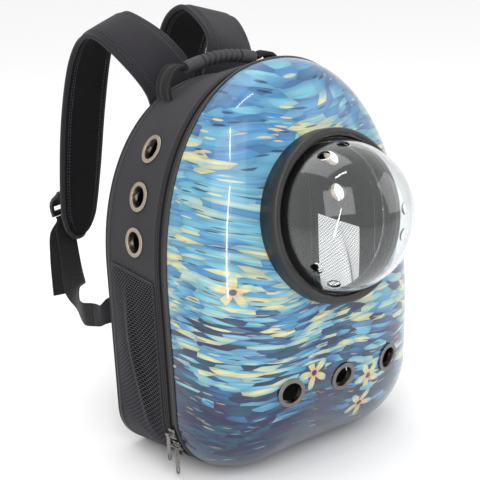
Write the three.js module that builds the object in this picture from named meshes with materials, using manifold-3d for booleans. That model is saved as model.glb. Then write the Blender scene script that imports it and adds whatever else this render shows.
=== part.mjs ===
// Bubble pet carrier backpack: a bulged hard front with a clear dome, fabric sides with net
// windows, a plain padded back, a moulded handle and two padded shoulder straps.
// Millimetres. X is the carrier's right seen from the front, the front faces -Y, Z is up, and
// the origin is the middle of the base's underside.
import * as THREE from 'three';
import Module from 'manifold-3d';
import { mergeVertices } from 'three/addons/utils/BufferGeometryUtils.js';

const wasm = await Module();
wasm.setup();

// Driving sizes of the body
const BODY_DEPTH = 110;
const FRONT_WIDTH = 300;
const FRONT_HEIGHT = 420;
const FRONT_CORNER = 68;
const BACK_WIDTH = 290;
const BACK_HEIGHT = 392;
const BACK_CORNER = 46;
const SPRING_HEIGHT = 208;
const ARCH_POWER = 0.92;
const SIDE_TAPER = 2;

// Fits
const GAP = 0.3;
const CUTTER_LENGTH = 30;
const OPENING_CUTTER_LENGTH = 120;

// Hard front
const SHELL_DEPTH = 96;
const SHELL_WALL = 2;
const SHELL_CENTRE_HEIGHT = 148;
const SHELL_INSET = 0.6;
const BULGE_SIDE = 2.46;
const BULGE_BOTTOM = 2.06;
const BULGE_TOP = 2;
const BULGE_BLEND = 1.5;

// Bubble opening
const RING_HEIGHT = 270;
const RING_FORWARD = 92;
const RING_TILT = 10;
const RING_OUTER_RADIUS = 88;
const RING_INNER_RADIUS = 78;
const RING_SLEEVE = 2.6;
const RING_LIP = 4;
const RING_SHOULDER = 5;
const SLEEVE_REACH = 2.5;
const DOME_WALL = 2.5;
const DOME_FIT = 0.5;
const DOME_CENTRE_BACK = 4;
const DOME_SKIRT = 10;
const VENT_DIAMETER = 13;
const VENT_RISE = 23;
const VENT_PAIRS = 3;
const VENT_PAIR_TURN = 104;
const VENT_PAIR_SPREAD = 22;

// Eyelets
const EYELET_HOLE = 21.5;
const EYELET_OUTER = 31;
const EYELET_TUBE_WALL = 1.1;
const EYELET_RISE = 2;
const EYELET_LIP = 2.2;
const EYELET_CURVE_ROOM = 2.4;
const FRONT_EYELETS = [
  { out: -68.5, up: 100 },
  { out: 0, up: 99 },
  { out: 68.5, up: 100 },
];
const SIDE_EYELET_BACK = 3;
const SIDE_EYELETS = [337, 291, 245];

// Edge cords, zip and fabric sides
const PIPING_DIAMETER = 4;
const PIPING_PROUD = 1.6;
const ZIP_RECESS_WIDTH = 9.4;
const ZIP_RECESS_DEPTH = 2.2;
const ZIP_TAPE_WALL = 2;
const ZIP_FLAP_WIDTH = 6.4;
const ZIP_TEETH_WIDTH = 5;
const ZIP_TEETH_HEIGHT = 1.5;
const FABRIC_WALL = 2.4;
const BACK_PANEL_THICKNESS = 10;
const BACK_PANEL_SOFTNESS = 4;

// Net windows
const NET_WALL = 1;
const NET_LAP = 4;
const NET_STANDOFF = 1.6;
const NET_SIDE_MARGIN = 7;
const NET_TOP_FRONT = 205;
const NET_TOP_BACK = 212;
const NET_LOW_FRONT = 14;
const NET_LOW_BACK = 62;
const NET_BULGE = 7;
const NET_FOLD = 4;
const NET_FOLD_START = 0.18;
const NET_FOLD_END = 0.62;
const NET_FOLD_WIDTH = 0.14;

// Zip sliders and pulls
const SLIDER_WIDTH = 9;
const SLIDER_LENGTH = 12;
const SLIDER_THICKNESS = 2.8;
const SLIDER_STANDOFF = 0.5;
const SLIDER_UPPER_HEIGHT = 50;
const SLIDER_LOWER_HEIGHT = 36;
const BAR_RADIUS = 0.8;
const BAR_LIFT = 2.6;
const POST_WIDTH = 1.2;
const POST_LENGTH = 2.4;
const PULL_WIDTH = 5;
const PULL_LENGTH = 29;
const PULL_THICKNESS = 1.4;
const PULL_KNUCKLE_WALL = 0.9;
const PULL_SLOT_LENGTH = 6;
const PULL_SLOT_WIDTH = 3;
const PULL_SLOT_EDGE = 1.6;
const PULL_CURVE_STEPS = 5;
const SLIDER_NECK = 0.4;
const BAR_STEPS = 8;

// Handle
const HANDLE_BACK = 32;
const HANDLE_LENGTH = 94;
const HANDLE_LIFT = 10.2;
const HANDLE_ARCH = 6.5;
const GRIP_RADIUS = 7.2;
const GRIP_RIBS = 7;
const GRIP_RIB_DEPTH = 1.3;
const GRIP_RIB_SHARE = 0.56;
const GRIP_EDGE = 3;
const HANDLE_END_WIDTH = 24;
const HANDLE_END_THICKNESS = 6;
const HANDLE_END_OUT = 28;
const HANDLE_END_ROOM = 2;

// Shoulder straps
const STRAP_WIDTH = 64;
const STRAP_THICKNESS = 9;
const STRAP_OUT = 87;
const STRAP_REACH = 140;
const STRAP_TOP = 449;
const STRAP_END = 203;
const BUCKLE_WIDTH = 36;
const BUCKLE_THICKNESS = 3.4;
const BUCKLE_UP = 30;
const BUCKLE_OUT = 8;
const BUCKLE_STANDOFF = 13;
const BUCKLE_SEAT = 0.7;
const BUCKLE_SLOT_WIDTH = 28;
const BUCKLE_SLOT_HEIGHT = 5;
const BUCKLE_SLOT_SHARES = [0.3, 0.7];
const WEBBING_WIDTH = 26;
const WEBBING_THICKNESS = 1.8;
const WEBBING_TILT = -8;
const WEBBING_LEAVE = 4;
const TAIL_LENGTH = 92;
const TAIL_YAW = 8;
const TAB_HEIGHT = 152;
const TAB_REACH = 25;
const TAB_DROP = 6;
const TAB_ROOT_WIDTH = 34;
const TAB_THICKNESS = 2.4;
const TAB_WAIST_SHARE = 0.64;
const TAB_ROOT_INSET = 9.6;
const TAB_BOW = 2;

// Facets
const ARCH_STEPS = 18;
const SIDE_STEPS = 2;
const CORNER_STEPS = 6;
const BASE_STEPS = 2;
const SHELL_ROWS = 8;
const ROUND_STEPS = 32;
const DOME_STEPS = 24;
const VENT_STEPS = 8;
const NET_ROWS = 10;
const NET_COLUMNS = 6;
const STRAP_STEPS = 24;
const WEBBING_STEPS = 24;
const TAIL_STEPS = 8;
const TAB_STEPS = 12;
const BUCKLE_STEPS = 8;
const HANDLE_END_STEPS = 12;
const PIPING_SIDES = 6;
const GRIP_SIDES = 8;
const EYELET_STEPS = 10;
const DOME_ROWS = 6;

const radians = THREE.MathUtils.degToRad;
const mix = THREE.MathUtils.lerp;
const RIM_Y = -BODY_DEPTH / 2;
const BACK_Y = BODY_DEPTH / 2;
const PIPING_RADIUS = PIPING_DIAMETER / 2;
const BAND_FRONT = RIM_Y + PIPING_DIAMETER + 2 * GAP;
const FLAP_FRONT = BAND_FRONT + ZIP_RECESS_WIDTH;
const BAND_BACK = FLAP_FRONT + ZIP_FLAP_WIDTH;
const GUSSET_FRONT = BAND_BACK + GAP;
const GUSSET_BACK = BACK_Y - PIPING_DIAMETER - 2 * GAP;
const PANEL_BACK = BACK_Y + BACK_PANEL_THICKNESS;

// Materials
const looks = {
  shell: { color: 0x5fa9cf, roughness: 0.12, metalness: 0 },
  ring: { color: 0x1d1c1d, roughness: 0.45, metalness: 0 },
  dome: { color: 0xdfe6ea, roughness: 0.05, metalness: 0 },
  metal: { color: 0xa79f97, roughness: 0.3, metalness: 0.9 },
  darkMetal: { color: 0x6d6863, roughness: 0.35, metalness: 0.9 },
  piping: { color: 0x151416, roughness: 0.5, metalness: 0 },
  fabric: { color: 0x322f36, roughness: 0.9, metalness: 0 },
  net: { color: 0x17161a, roughness: 0.85, metalness: 0 },
  webbing: { color: 0x161517, roughness: 0.8, metalness: 0 },
  grip: { color: 0x3a383b, roughness: 0.6, metalness: 0 },
};

// Outline of the body in front view: a flat base, round lower corners, nearly straight sides and
// a full arch, anticlockwise from the middle of the base. The same step falls on the same
// feature at every size, so outlines of different sizes loft into one another.
function outline({ halfWidth, top, base, corner }) {
  const lowX = halfWidth - SIDE_TAPER;
  const points = [];
  const flat = lowX - corner;
  for (let i = 0; i < BASE_STEPS; i += 1) {
    points.push([mix(0, flat, i / BASE_STEPS), base]);
  }
  for (let i = 0; i < CORNER_STEPS; i += 1) {
    const turn = (i / CORNER_STEPS) * (Math.PI / 2);
    points.push([flat + corner * Math.sin(turn), base + corner * (1 - Math.cos(turn))]);
  }
  for (let i = 0; i < SIDE_STEPS; i += 1) {
    const share = i / SIDE_STEPS;
    points.push([mix(lowX, halfWidth, share), mix(base + corner, SPRING_HEIGHT, share)]);
  }
  for (let i = 0; i <= ARCH_STEPS / 2; i += 1) {
    const turn = (i / ARCH_STEPS) * Math.PI;
    const x = halfWidth * Math.cos(turn) ** ARCH_POWER;
    const z = SPRING_HEIGHT + (top - SPRING_HEIGHT) * Math.sin(turn) ** ARCH_POWER;
    points.push([i === ARCH_STEPS / 2 ? 0 : x, z]);
  }
  const mirrored = points.slice(1, -1).reverse().map(([x, z]) => [-x, z]);
  return points.concat(mirrored);
}

// The body's outline at one depth, grown outwards by an offset. A grown outline keeps its base on
// the surface that the carrier stands on.
function bodySection(y, offset) {
  const share = (y - RIM_Y) / BODY_DEPTH;
  return outline({
    halfWidth: mix(FRONT_WIDTH, BACK_WIDTH, share) / 2 + offset,
    top: mix(FRONT_HEIGHT, BACK_HEIGHT, share) + offset,
    base: Math.max(-offset, 0),
    corner: mix(FRONT_CORNER, BACK_CORNER, share) + offset,
  });
}

// Half width of the body at one height and depth, beside the side or the lower corner
function sideReach(y, z, offset) {
  const share = (y - RIM_Y) / BODY_DEPTH;
  const halfWidth = mix(FRONT_WIDTH, BACK_WIDTH, share) / 2 + offset;
  const corner = mix(FRONT_CORNER, BACK_CORNER, share);
  if (z >= corner) {
    return halfWidth - SIDE_TAPER * Math.max(0, (SPRING_HEIGHT - z) / (SPRING_HEIGHT - corner));
  }
  const drop = Math.min((corner - z) / (corner + offset), 1);
  return halfWidth - SIDE_TAPER - corner - offset + (corner + offset) * Math.sqrt(1 - drop * drop);
}

// Height of the body's arch at one place
function archHeight(x, y, offset) {
  const share = (y - RIM_Y) / BODY_DEPTH;
  const halfWidth = mix(FRONT_WIDTH, BACK_WIDTH, share) / 2 + offset;
  const top = mix(FRONT_HEIGHT, BACK_HEIGHT, share) + offset;
  const across = Math.min(Math.abs(x) / halfWidth, 1) ** (2 / ARCH_POWER);
  return SPRING_HEIGHT + (top - SPRING_HEIGHT) * (1 - across) ** (ARCH_POWER / 2);
}

// Height of the body's faceted arch at one place, on the straight lines between its points
function facetHeight(x, y) {
  const points = bodySection(y, 0);
  let height = 0;
  points.forEach(([ax, az], i) => {
    const [bx, bz] = points[(i + 1) % points.length];
    const share = (x - ax) / (bx - ax);
    if (share >= 0 && share <= 1) {
      height = Math.max(height, mix(az, bz, share));
    }
  });
  return height;
}

// Signed volume of a triangle list, positive where its faces point outwards
function signedVolume(points, triangles) {
  let sum = 0;
  for (const [a, b, c] of triangles) {
    sum += points[a].dot(new THREE.Vector3().crossVectors(points[b], points[c])) / 6;
  }
  return sum;
}

function geometryOf(points, triangles) {
  const outwards = signedVolume(points, triangles) > 0;
  const index = triangles.flatMap(([a, b, c]) => (outwards ? [a, b, c] : [a, c, b]));
  const geometry = new THREE.BufferGeometry();
  const numbers = points.flatMap((p) => p.toArray());
  geometry.setAttribute('position', new THREE.Float32BufferAttribute(numbers, 3));
  geometry.setIndex(index);
  return geometry;
}

// Skins a row of equal sections. The row closes on itself as a loop, or ends in flat caps.
function skin(sections, closed) {
  const count = sections[0].length;
  const points = sections.flat();
  const triangles = [];
  const rows = closed ? sections.length : sections.length - 1;
  for (let row = 0; row < rows; row += 1) {
    const next = (row + 1) % sections.length;
    for (let i = 0; i < count; i += 1) {
      const j = (i + 1) % count;
      const [a, b, c, d] = [row * count + i, row * count + j, next * count + j, next * count + i];
      triangles.push([a, b, c], [a, c, d]);
    }
  }
  if (!closed) {
    const last = (sections.length - 1) * count;
    for (let i = 1; i < count - 1; i += 1) {
      triangles.push([0, i + 1, i], [last, last + i, last + i + 1]);
    }
  }
  return geometryOf(points, triangles);
}

// A wall between two equal grids of points, joined along their borders
function walled(outer, inner) {
  const rows = outer.length;
  const columns = outer[0].length;
  const points = outer.flat().concat(inner.flat());
  const half = rows * columns;
  const at = (side, row, column) => side * half + row * columns + column;
  const triangles = [];
  for (let r = 0; r < rows - 1; r += 1) {
    for (let c = 0; c < columns - 1; c += 1) {
      triangles.push([at(0, r, c), at(0, r, c + 1), at(0, r + 1, c + 1)]);
      triangles.push([at(0, r, c), at(0, r + 1, c + 1), at(0, r + 1, c)]);
      triangles.push([at(1, r, c), at(1, r + 1, c + 1), at(1, r, c + 1)]);
      triangles.push([at(1, r, c), at(1, r + 1, c), at(1, r + 1, c + 1)]);
    }
  }
  const acrossSteps = Array.from({ length: columns - 1 }, (_, c) => c);
  const upSteps = Array.from({ length: rows - 1 }, (_, r) => r);
  const border = [
    ...acrossSteps.map((c) => [0, c]),
    ...upSteps.map((r) => [r, columns - 1]),
    ...acrossSteps.map((c) => [rows - 1, columns - 1 - c]),
    ...upSteps.map((r) => [rows - 1 - r, 0]),
  ];
  border.forEach(([r, c], i) => {
    const [nr, nc] = border[(i + 1) % border.length];
    triangles.push([at(0, r, c), at(1, nr, nc), at(0, nr, nc)], [at(0, r, c), at(1, r, c), at(1, nr, nc)]);
  });
  return geometryOf(points, triangles);
}

function bodyRing(y, offset) {
  return bodySection(y, offset).map(([x, z]) => new THREE.Vector3(x, y, z));
}

// A profile of depths and outward offsets carried all round the body
function bodyLoop(profile) {
  const rings = profile.map(([y, offset]) => bodyRing(y, offset));
  const sections = rings[0].map((_, i) => rings.map((ring) => ring[i]));
  return skin(sections, true);
}

// A closed profile of radii and heights turned about an axis, given by its frame
function turned(profile, steps, frame) {
  const sections = [];
  for (let i = 0; i < steps; i += 1) {
    const turn = (i / steps) * 2 * Math.PI;
    sections.push(profile.map(([radius, height]) => frame(radius, turn, height)));
  }
  return skin(sections, true);
}

function roundFrame(centre, axis, across) {
  const up = axis.clone().normalize();
  const side = across.clone().addScaledVector(up, -across.dot(up)).normalize();
  const other = new THREE.Vector3().crossVectors(up, side);
  return (radius, turn, height) => centre.clone()
    .addScaledVector(side, radius * Math.cos(turn))
    .addScaledVector(other, radius * Math.sin(turn))
    .addScaledVector(up, height);
}

// Joining and cutting
function solidOf(geometry) {
  const bare = geometry.clone();
  bare.deleteAttribute('normal');
  bare.deleteAttribute('uv');
  const merged = mergeVertices(bare, 1e-4);
  const mesh = new wasm.Mesh({
    numProp: 3,
    vertProperties: Float32Array.from(merged.attributes.position.array),
    triVerts: Uint32Array.from(merged.index.array),
  });
  return new wasm.Manifold(mesh);
}

function geometryOfSolid(solid) {
  const mesh = solid.getMesh();
  const geometry = new THREE.BufferGeometry();
  geometry.setAttribute('position', new THREE.Float32BufferAttribute(mesh.vertProperties, 3));
  geometry.setIndex(Array.from(mesh.triVerts));
  return geometry;
}

function cut(geometry, tools) {
  const solid = tools.reduce((left, tool) => left.subtract(solidOf(tool)), solidOf(geometry));
  return geometryOfSolid(solid);
}

function join(parts) {
  const solid = parts.slice(1).reduce((left, part) => left.add(solidOf(part)), solidOf(parts[0]));
  return geometryOfSolid(solid);
}

// A round cutting tool along a direction
function drill(centre, axis, radius, length, steps) {
  const tool = new THREE.CylinderGeometry(radius, radius, length, steps);
  const unit = axis.clone().normalize();
  tool.applyQuaternion(new THREE.Quaternion().setFromUnitVectors(new THREE.Vector3(0, 1, 0), unit));
  tool.translate(centre.x, centre.y, centre.z);
  return tool;
}

function box(width, depth, height, x, y, z) {
  return new THREE.BoxGeometry(width, depth, height).translate(x, y, z);
}

// Hard front. A point's share is its distance from the bulge's middle line towards the rim, and
// the depth follows a rounded curve that is fuller at the sides than above and below.
function bulgePower(dx, dz) {
  const rise = dz / Math.max(Math.hypot(dx, dz), 1e-9);
  const end = rise < 0 ? BULGE_BOTTOM : BULGE_TOP;
  return mix(BULGE_SIDE, end, Math.abs(rise) ** BULGE_BLEND);
}

function bulgeDepth(share, power, depth) {
  return depth * (1 - Math.min(share, 1) ** power) ** (1 / power);
}

function shellSurface(inset, depth) {
  const rim = bodySection(RIM_Y, -SHELL_INSET - inset);
  const grid = [];
  for (let row = 0; row <= SHELL_ROWS; row += 1) {
    const share = Math.cos((row / SHELL_ROWS) * (Math.PI / 2));
    grid.push(rim.map(([x, z]) => {
      const dz = z - SHELL_CENTRE_HEIGHT;
      const y = RIM_Y - bulgeDepth(share, bulgePower(x, dz), depth);
      return new THREE.Vector3(x * share, y, SHELL_CENTRE_HEIGHT + dz * share);
    }));
  }
  return grid;
}

// How far forward of the rim the hard front's outer face lies at one place
function shellForward(x, z) {
  const rim = bodySection(RIM_Y, -SHELL_INSET);
  const dz = z - SHELL_CENTRE_HEIGHT;
  let share = 0;
  rim.forEach(([ax, az], i) => {
    const [bx, bz] = rim[(i + 1) % rim.length];
    const [ex, ez] = [bx - ax, bz - az];
    const [px, pz] = [ax, az - SHELL_CENTRE_HEIGHT];
    const cross = px * ez - pz * ex;
    share = Math.max(share, (x * ez - dz * ex) / cross);
  });
  return bulgeDepth(share, bulgePower(x, dz), SHELL_DEPTH);
}

function shellNormal(x, z) {
  const step = 1;
  const slopeX = (shellForward(x + step, z) - shellForward(x - step, z)) / (2 * step);
  const slopeZ = (shellForward(x, z + step) - shellForward(x, z - step)) / (2 * step);
  return new THREE.Vector3(-slopeX, -1, -slopeZ).normalize();
}

const ringAxis = new THREE.Vector3(0, -Math.cos(radians(RING_TILT)), Math.sin(radians(RING_TILT)));
const ringCentre = new THREE.Vector3(0, RIM_Y - RING_FORWARD, RING_HEIGHT);
const ringFrame = roundFrame(ringCentre, ringAxis, new THREE.Vector3(1, 0, 0));

// How far behind the ring's plane the hard front lies, by halving
function ringSeat(radius, turn) {
  let near = -10;
  let far = 60;
  for (let i = 0; i < 30; i += 1) {
    const middle = (near + far) / 2;
    const p = ringFrame(radius, turn, -middle);
    if (RIM_Y - p.y > shellForward(p.x, p.z)) {
      near = middle;
    } else {
      far = middle;
    }
  }
  return far;
}

function frontEyeletPlaces() {
  return FRONT_EYELETS.map(({ out, up }) => ({
    centre: new THREE.Vector3(out, RIM_Y - shellForward(out, up), up),
    axis: shellNormal(out, up),
  }));
}

// The side eyelets sit on the arch or the side, square to the fabric
function sideEyeletPlaces(side) {
  return SIDE_EYELETS.map((z) => {
    let near = 0;
    let far = FRONT_WIDTH;
    for (let i = 0; i < 40; i += 1) {
      const middle = (near + far) / 2;
      if (archHeight(middle, SIDE_EYELET_BACK, 0) > z) {
        near = middle;
      } else {
        far = middle;
      }
    }
    const x = z > SPRING_HEIGHT ? near : sideReach(SIDE_EYELET_BACK, z, 0);
    const fallOut = archHeight(x - 1, SIDE_EYELET_BACK, 0) - archHeight(x, SIDE_EYELET_BACK, 0);
    const fallBack = archHeight(x - 1, SIDE_EYELET_BACK - 1, 0) - archHeight(x - 1, SIDE_EYELET_BACK, 0);
    const axis = new THREE.Vector3(side * fallOut, fallBack, 1).normalize();
    return { centre: new THREE.Vector3(side * x, SIDE_EYELET_BACK, z), axis };
  });
}

// A faceted hole's flats clear what passes through it
const clearOf = (radius, steps) => (radius + GAP) / Math.cos(Math.PI / steps);
const holeRadius = clearOf(EYELET_HOLE / 2 + EYELET_TUBE_WALL, EYELET_STEPS);

function frontShell() {
  const outer = shellSurface(0, SHELL_DEPTH);
  const inner = shellSurface(SHELL_WALL, SHELL_DEPTH - SHELL_WALL);
  const closeRow = (grid) => grid.map((row) => row.concat([row[0]]));
  const dish = walledDish(closeRow(outer), closeRow(inner));
  const openingRadius = clearOf(RING_INNER_RADIUS + RING_SLEEVE, ROUND_STEPS);
  const opening = drill(ringCentre, ringAxis, openingRadius, OPENING_CUTTER_LENGTH, ROUND_STEPS);
  const holes = frontEyeletPlaces().map(({ centre, axis }) => {
    return drill(centre, axis, holeRadius, CUTTER_LENGTH, EYELET_STEPS);
  });
  return cut(dish, [opening, ...holes]);
}

// A wall between two domed grids whose first rows are the rim and last rows the middle
function walledDish(outer, inner) {
  const columns = outer[0].length - 1;
  const rows = outer.length - 1;
  const points = [];
  for (const grid of [outer, inner]) {
    for (let r = 0; r < rows; r += 1) {
      points.push(...grid[r].slice(0, columns));
    }
    points.push(grid[rows][0]);
  }
  const size = rows * columns + 1;
  const triangles = [];
  for (const side of [0, 1]) {
    const add = (a, b, c) => triangles.push(side ? [a, c, b] : [a, b, c]);
    for (let r = 0; r < rows; r += 1) {
      for (let c = 0; c < columns; c += 1) {
        const n = (c + 1) % columns;
        const a = side * size + r * columns + c;
        const b = side * size + r * columns + n;
        if (r === rows - 1) {
          add(a, b, side * size + rows * columns);
        } else {
          add(a, b, b + columns);
          add(a, b + columns, a + columns);
        }
      }
    }
  }
  for (let c = 0; c < columns; c += 1) {
    const n = (c + 1) % columns;
    triangles.push([c, size + n, n], [c, size + c, size + n]);
  }
  return geometryOf(points, triangles);
}

function bubbleRing() {
  const outer = RING_OUTER_RADIUS;
  const inner = RING_INNER_RADIUS;
  const middle = (outer + inner) / 2;
  const shoulder = (outer - inner) * 0.38;
  const sections = [];
  for (let i = 0; i < ROUND_STEPS; i += 1) {
    const turn = (i / ROUND_STEPS) * 2 * Math.PI;
    const sleeve = inner + RING_SLEEVE;
    const sleeveEnd = ringSeat(inner, turn) + SHELL_WALL + SLEEVE_REACH;
    const profile = [
      [inner, -RING_LIP],
      [middle - shoulder, RING_LIP * 0.55],
      [middle, RING_LIP],
      [middle + shoulder, RING_LIP * 0.55],
      [outer, -RING_LIP],
      [outer, -Math.max(ringSeat(outer, turn) - GAP, RING_SHOULDER)],
      [sleeve, -Math.max(ringSeat(sleeve, turn) - 2 * GAP, RING_SHOULDER)],
      [sleeve, -sleeveEnd],
      [inner, -sleeveEnd],
    ];
    sections.push(profile.map(([radius, height]) => ringFrame(radius, turn, height)));
  }
  return skin(sections, true);
}

const domeRadius = RING_INNER_RADIUS - DOME_FIT;

function bubbleDome() {
  const wall = (radius, back) => {
    const points = [[radius, -DOME_CENTRE_BACK - back]];
    for (let i = 0; i < DOME_ROWS; i += 1) {
      const turn = (i / DOME_ROWS) * (Math.PI / 2);
      points.push([radius * Math.cos(turn), radius * Math.sin(turn) - DOME_CENTRE_BACK]);
    }
    return points;
  };
  const outer = wall(domeRadius, DOME_SKIRT);
  const inner = wall(domeRadius - DOME_WALL, DOME_SKIRT);
  const grid = (profile, tip) => profile.map(([radius, height]) => {
    const row = [];
    for (let i = 0; i < DOME_STEPS; i += 1) {
      row.push(ringFrame(radius, (i / DOME_STEPS) * 2 * Math.PI, height));
    }
    return row.concat([row[0]]);
  }).concat([[ringFrame(0, 0, tip - DOME_CENTRE_BACK)]]);
  const dome = walledDish(grid(outer, domeRadius), grid(inner, domeRadius - DOME_WALL));
  const vents = [];
  const ventHeight = VENT_RISE + DOME_CENTRE_BACK;
  const ventOut = Math.sqrt(domeRadius ** 2 - ventHeight ** 2);
  const middle = ringFrame(0, 0, -DOME_CENTRE_BACK);
  for (let pair = 0; pair < VENT_PAIRS; pair += 1) {
    for (const half of [-0.5, 0.5]) {
      const turn = radians(VENT_PAIR_TURN + (pair * 360) / VENT_PAIRS + half * VENT_PAIR_SPREAD);
      const centre = ringFrame(ventOut, turn, VENT_RISE);
      vents.push(drill(centre, centre.clone().sub(middle), VENT_DIAMETER / 2, CUTTER_LENGTH, VENT_STEPS));
    }
  }
  return cut(dome, vents);
}

// A metal eyelet: a flat rounded collar outside, a tube through the wall and a small lip inside
function eyelet(wall) {
  const hole = EYELET_HOLE / 2;
  const tube = hole + EYELET_TUBE_WALL;
  const outer = EYELET_OUTER / 2;
  const inside = -wall - EYELET_CURVE_ROOM;
  const profile = [
    [hole, inside - 1],
    [tube + EYELET_LIP, inside - 1],
    [tube + EYELET_LIP, inside],
    [tube, inside],
    [tube, GAP],
    [outer, GAP],
    [outer - 0.8, GAP + 1],
    [mix(hole, outer, 0.55), EYELET_RISE],
    [hole, EYELET_RISE * 0.55],
  ];
  const frame = roundFrame(new THREE.Vector3(), new THREE.Vector3(0, 0, 1), new THREE.Vector3(1, 0, 0));
  return turned(profile, EYELET_STEPS, frame);
}

function piping(y) {
  const profile = [];
  const middle = PIPING_PROUD - PIPING_RADIUS;
  for (let i = 0; i < PIPING_SIDES; i += 1) {
    const turn = ((i + 0.5) / PIPING_SIDES) * 2 * Math.PI;
    profile.push([y + PIPING_RADIUS * Math.cos(turn), middle + PIPING_RADIUS * Math.sin(turn)]);
  }
  return bodyLoop(profile);
}

function zipBand() {
  const low = -ZIP_RECESS_DEPTH - ZIP_TAPE_WALL;
  return bodyLoop([
    [BAND_FRONT, low],
    [BAND_FRONT, -ZIP_RECESS_DEPTH],
    [FLAP_FRONT, -ZIP_RECESS_DEPTH],
    [FLAP_FRONT + GAP, 0],
    [BAND_BACK, 0],
    [BAND_BACK, low],
  ]);
}

const ZIP_MIDDLE = (BAND_FRONT + FLAP_FRONT) / 2;
const TEETH_TOP = GAP + ZIP_TEETH_HEIGHT - ZIP_RECESS_DEPTH;

function zipChain() {
  const half = ZIP_TEETH_WIDTH / 2;
  const low = GAP - ZIP_RECESS_DEPTH;
  return bodyLoop([
    [ZIP_MIDDLE - half, low],
    [ZIP_MIDDLE - half, TEETH_TOP],
    [ZIP_MIDDLE + half, TEETH_TOP],
    [ZIP_MIDDLE + half, low],
  ]);
}

// The net window's corners in side view
function windowEdges(lap) {
  const front = GUSSET_FRONT + NET_SIDE_MARGIN - lap;
  const back = GUSSET_BACK - NET_SIDE_MARGIN + lap;
  const share = (y) => (y - GUSSET_FRONT) / (GUSSET_BACK - GUSSET_FRONT);
  const top = (y) => mix(NET_TOP_FRONT, NET_TOP_BACK, share(y)) + lap;
  const low = (y) => mix(NET_LOW_FRONT, NET_LOW_BACK, share(y)) - lap;
  return { front, back, top, low };
}

function gusset() {
  const shell = bodyLoop([
    [GUSSET_FRONT, -FABRIC_WALL],
    [GUSSET_FRONT, 0],
    [GUSSET_BACK, 0],
    [GUSSET_BACK, -FABRIC_WALL],
  ]);
  const { front, back, top, low } = windowEdges(0);
  const corners = [[front, low(front)], [back, low(back)], [back, top(back)], [front, top(front)]];
  const tools = [-1, 1].map((side) => {
    const plane = (x) => corners.map(([y, z]) => new THREE.Vector3(side * x, y, z));
    return skin([plane(BACK_WIDTH / 4), plane(FRONT_WIDTH)], false);
  });
  for (const side of [-1, 1]) {
    for (const { centre, axis } of sideEyeletPlaces(side)) {
      tools.push(drill(centre, axis, holeRadius, CUTTER_LENGTH, EYELET_STEPS));
    }
  }
  return cut(shell, tools);
}

// A slack net panel: it laps over its window, bellies out and has one long slanting fold
function netPanel(side) {
  const { front, back, top, low } = windowEdges(NET_LAP);
  const layer = (lift) => {
    const grid = [];
    for (let r = 0; r <= NET_ROWS; r += 1) {
      const row = [];
      for (let c = 0; c <= NET_COLUMNS; c += 1) {
        const v = r / NET_ROWS;
        const u = c / NET_COLUMNS;
        const y = mix(front, back, u);
        const z = mix(low(y), top(y), v);
        const slack = Math.sin(Math.PI * u) * Math.sin(Math.PI * v);
        const foldLine = mix(NET_FOLD_START, NET_FOLD_END, v);
        const fold = NET_FOLD * Math.exp(-(((u - foldLine) / NET_FOLD_WIDTH) ** 2)) * Math.sin(Math.PI * v);
        const offset = NET_STANDOFF + lift + NET_BULGE * slack + fold * Math.min(slack * 3, 1);
        row.push(new THREE.Vector3(side * sideReach(y, z, offset), y, z));
      }
      grid.push(row);
    }
    return grid;
  };
  return walled(layer(NET_WALL), layer(0));
}

// Padded back: a soft-edged slab of the body's back outline
function backPanel() {
  const soft = BACK_PANEL_SOFTNESS;
  return skin([
    bodyRing(BACK_Y + GAP, 0),
    bodyRing(PANEL_BACK - soft, 0),
    bodyRing(PANEL_BACK - soft * 0.3, -soft * 0.7),
    bodyRing(PANEL_BACK, -soft * 2),
  ], false);
}

// Zip sliders: a body over the teeth and a cross bar on two posts
function sliderPlace(height) {
  const x = -sideReach(ZIP_MIDDLE, height, 0);
  const step = 1;
  const slope = sideReach(ZIP_MIDDLE, height + step, 0) - sideReach(ZIP_MIDDLE, height - step, 0);
  return { x, z: height, lean: Math.atan2(slope, 2 * step) };
}

const barLift = SLIDER_STANDOFF + SLIDER_THICKNESS + BAR_LIFT;

function slider() {
  const base = SLIDER_STANDOFF + TEETH_TOP;
  const postOut = PULL_WIDTH + GAP * 2 + POST_WIDTH / 2;
  const bodyTop = base + SLIDER_THICKNESS;
  const barHeight = barLift + BAR_RADIUS;
  const postHeight = barHeight - bodyTop + SLIDER_NECK;
  const postMiddle = (bodyTop - SLIDER_NECK + barHeight) / 2;
  const footWidth = 2 * postOut + POST_WIDTH;
  const parts = [
    box(SLIDER_THICKNESS, SLIDER_WIDTH, SLIDER_LENGTH, -base - SLIDER_THICKNESS / 2, 0, 0),
    box(2 * SLIDER_NECK, footWidth, POST_LENGTH, -bodyTop, 0, 0),
    box(postHeight, POST_WIDTH, POST_LENGTH, -postMiddle, -postOut, 0),
    box(postHeight, POST_WIDTH, POST_LENGTH, -postMiddle, postOut, 0),
    new THREE.CylinderGeometry(BAR_RADIUS, BAR_RADIUS, 2 * postOut, BAR_STEPS).translate(-barLift, 0, 0),
  ];
  return join(parts);
}

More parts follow.
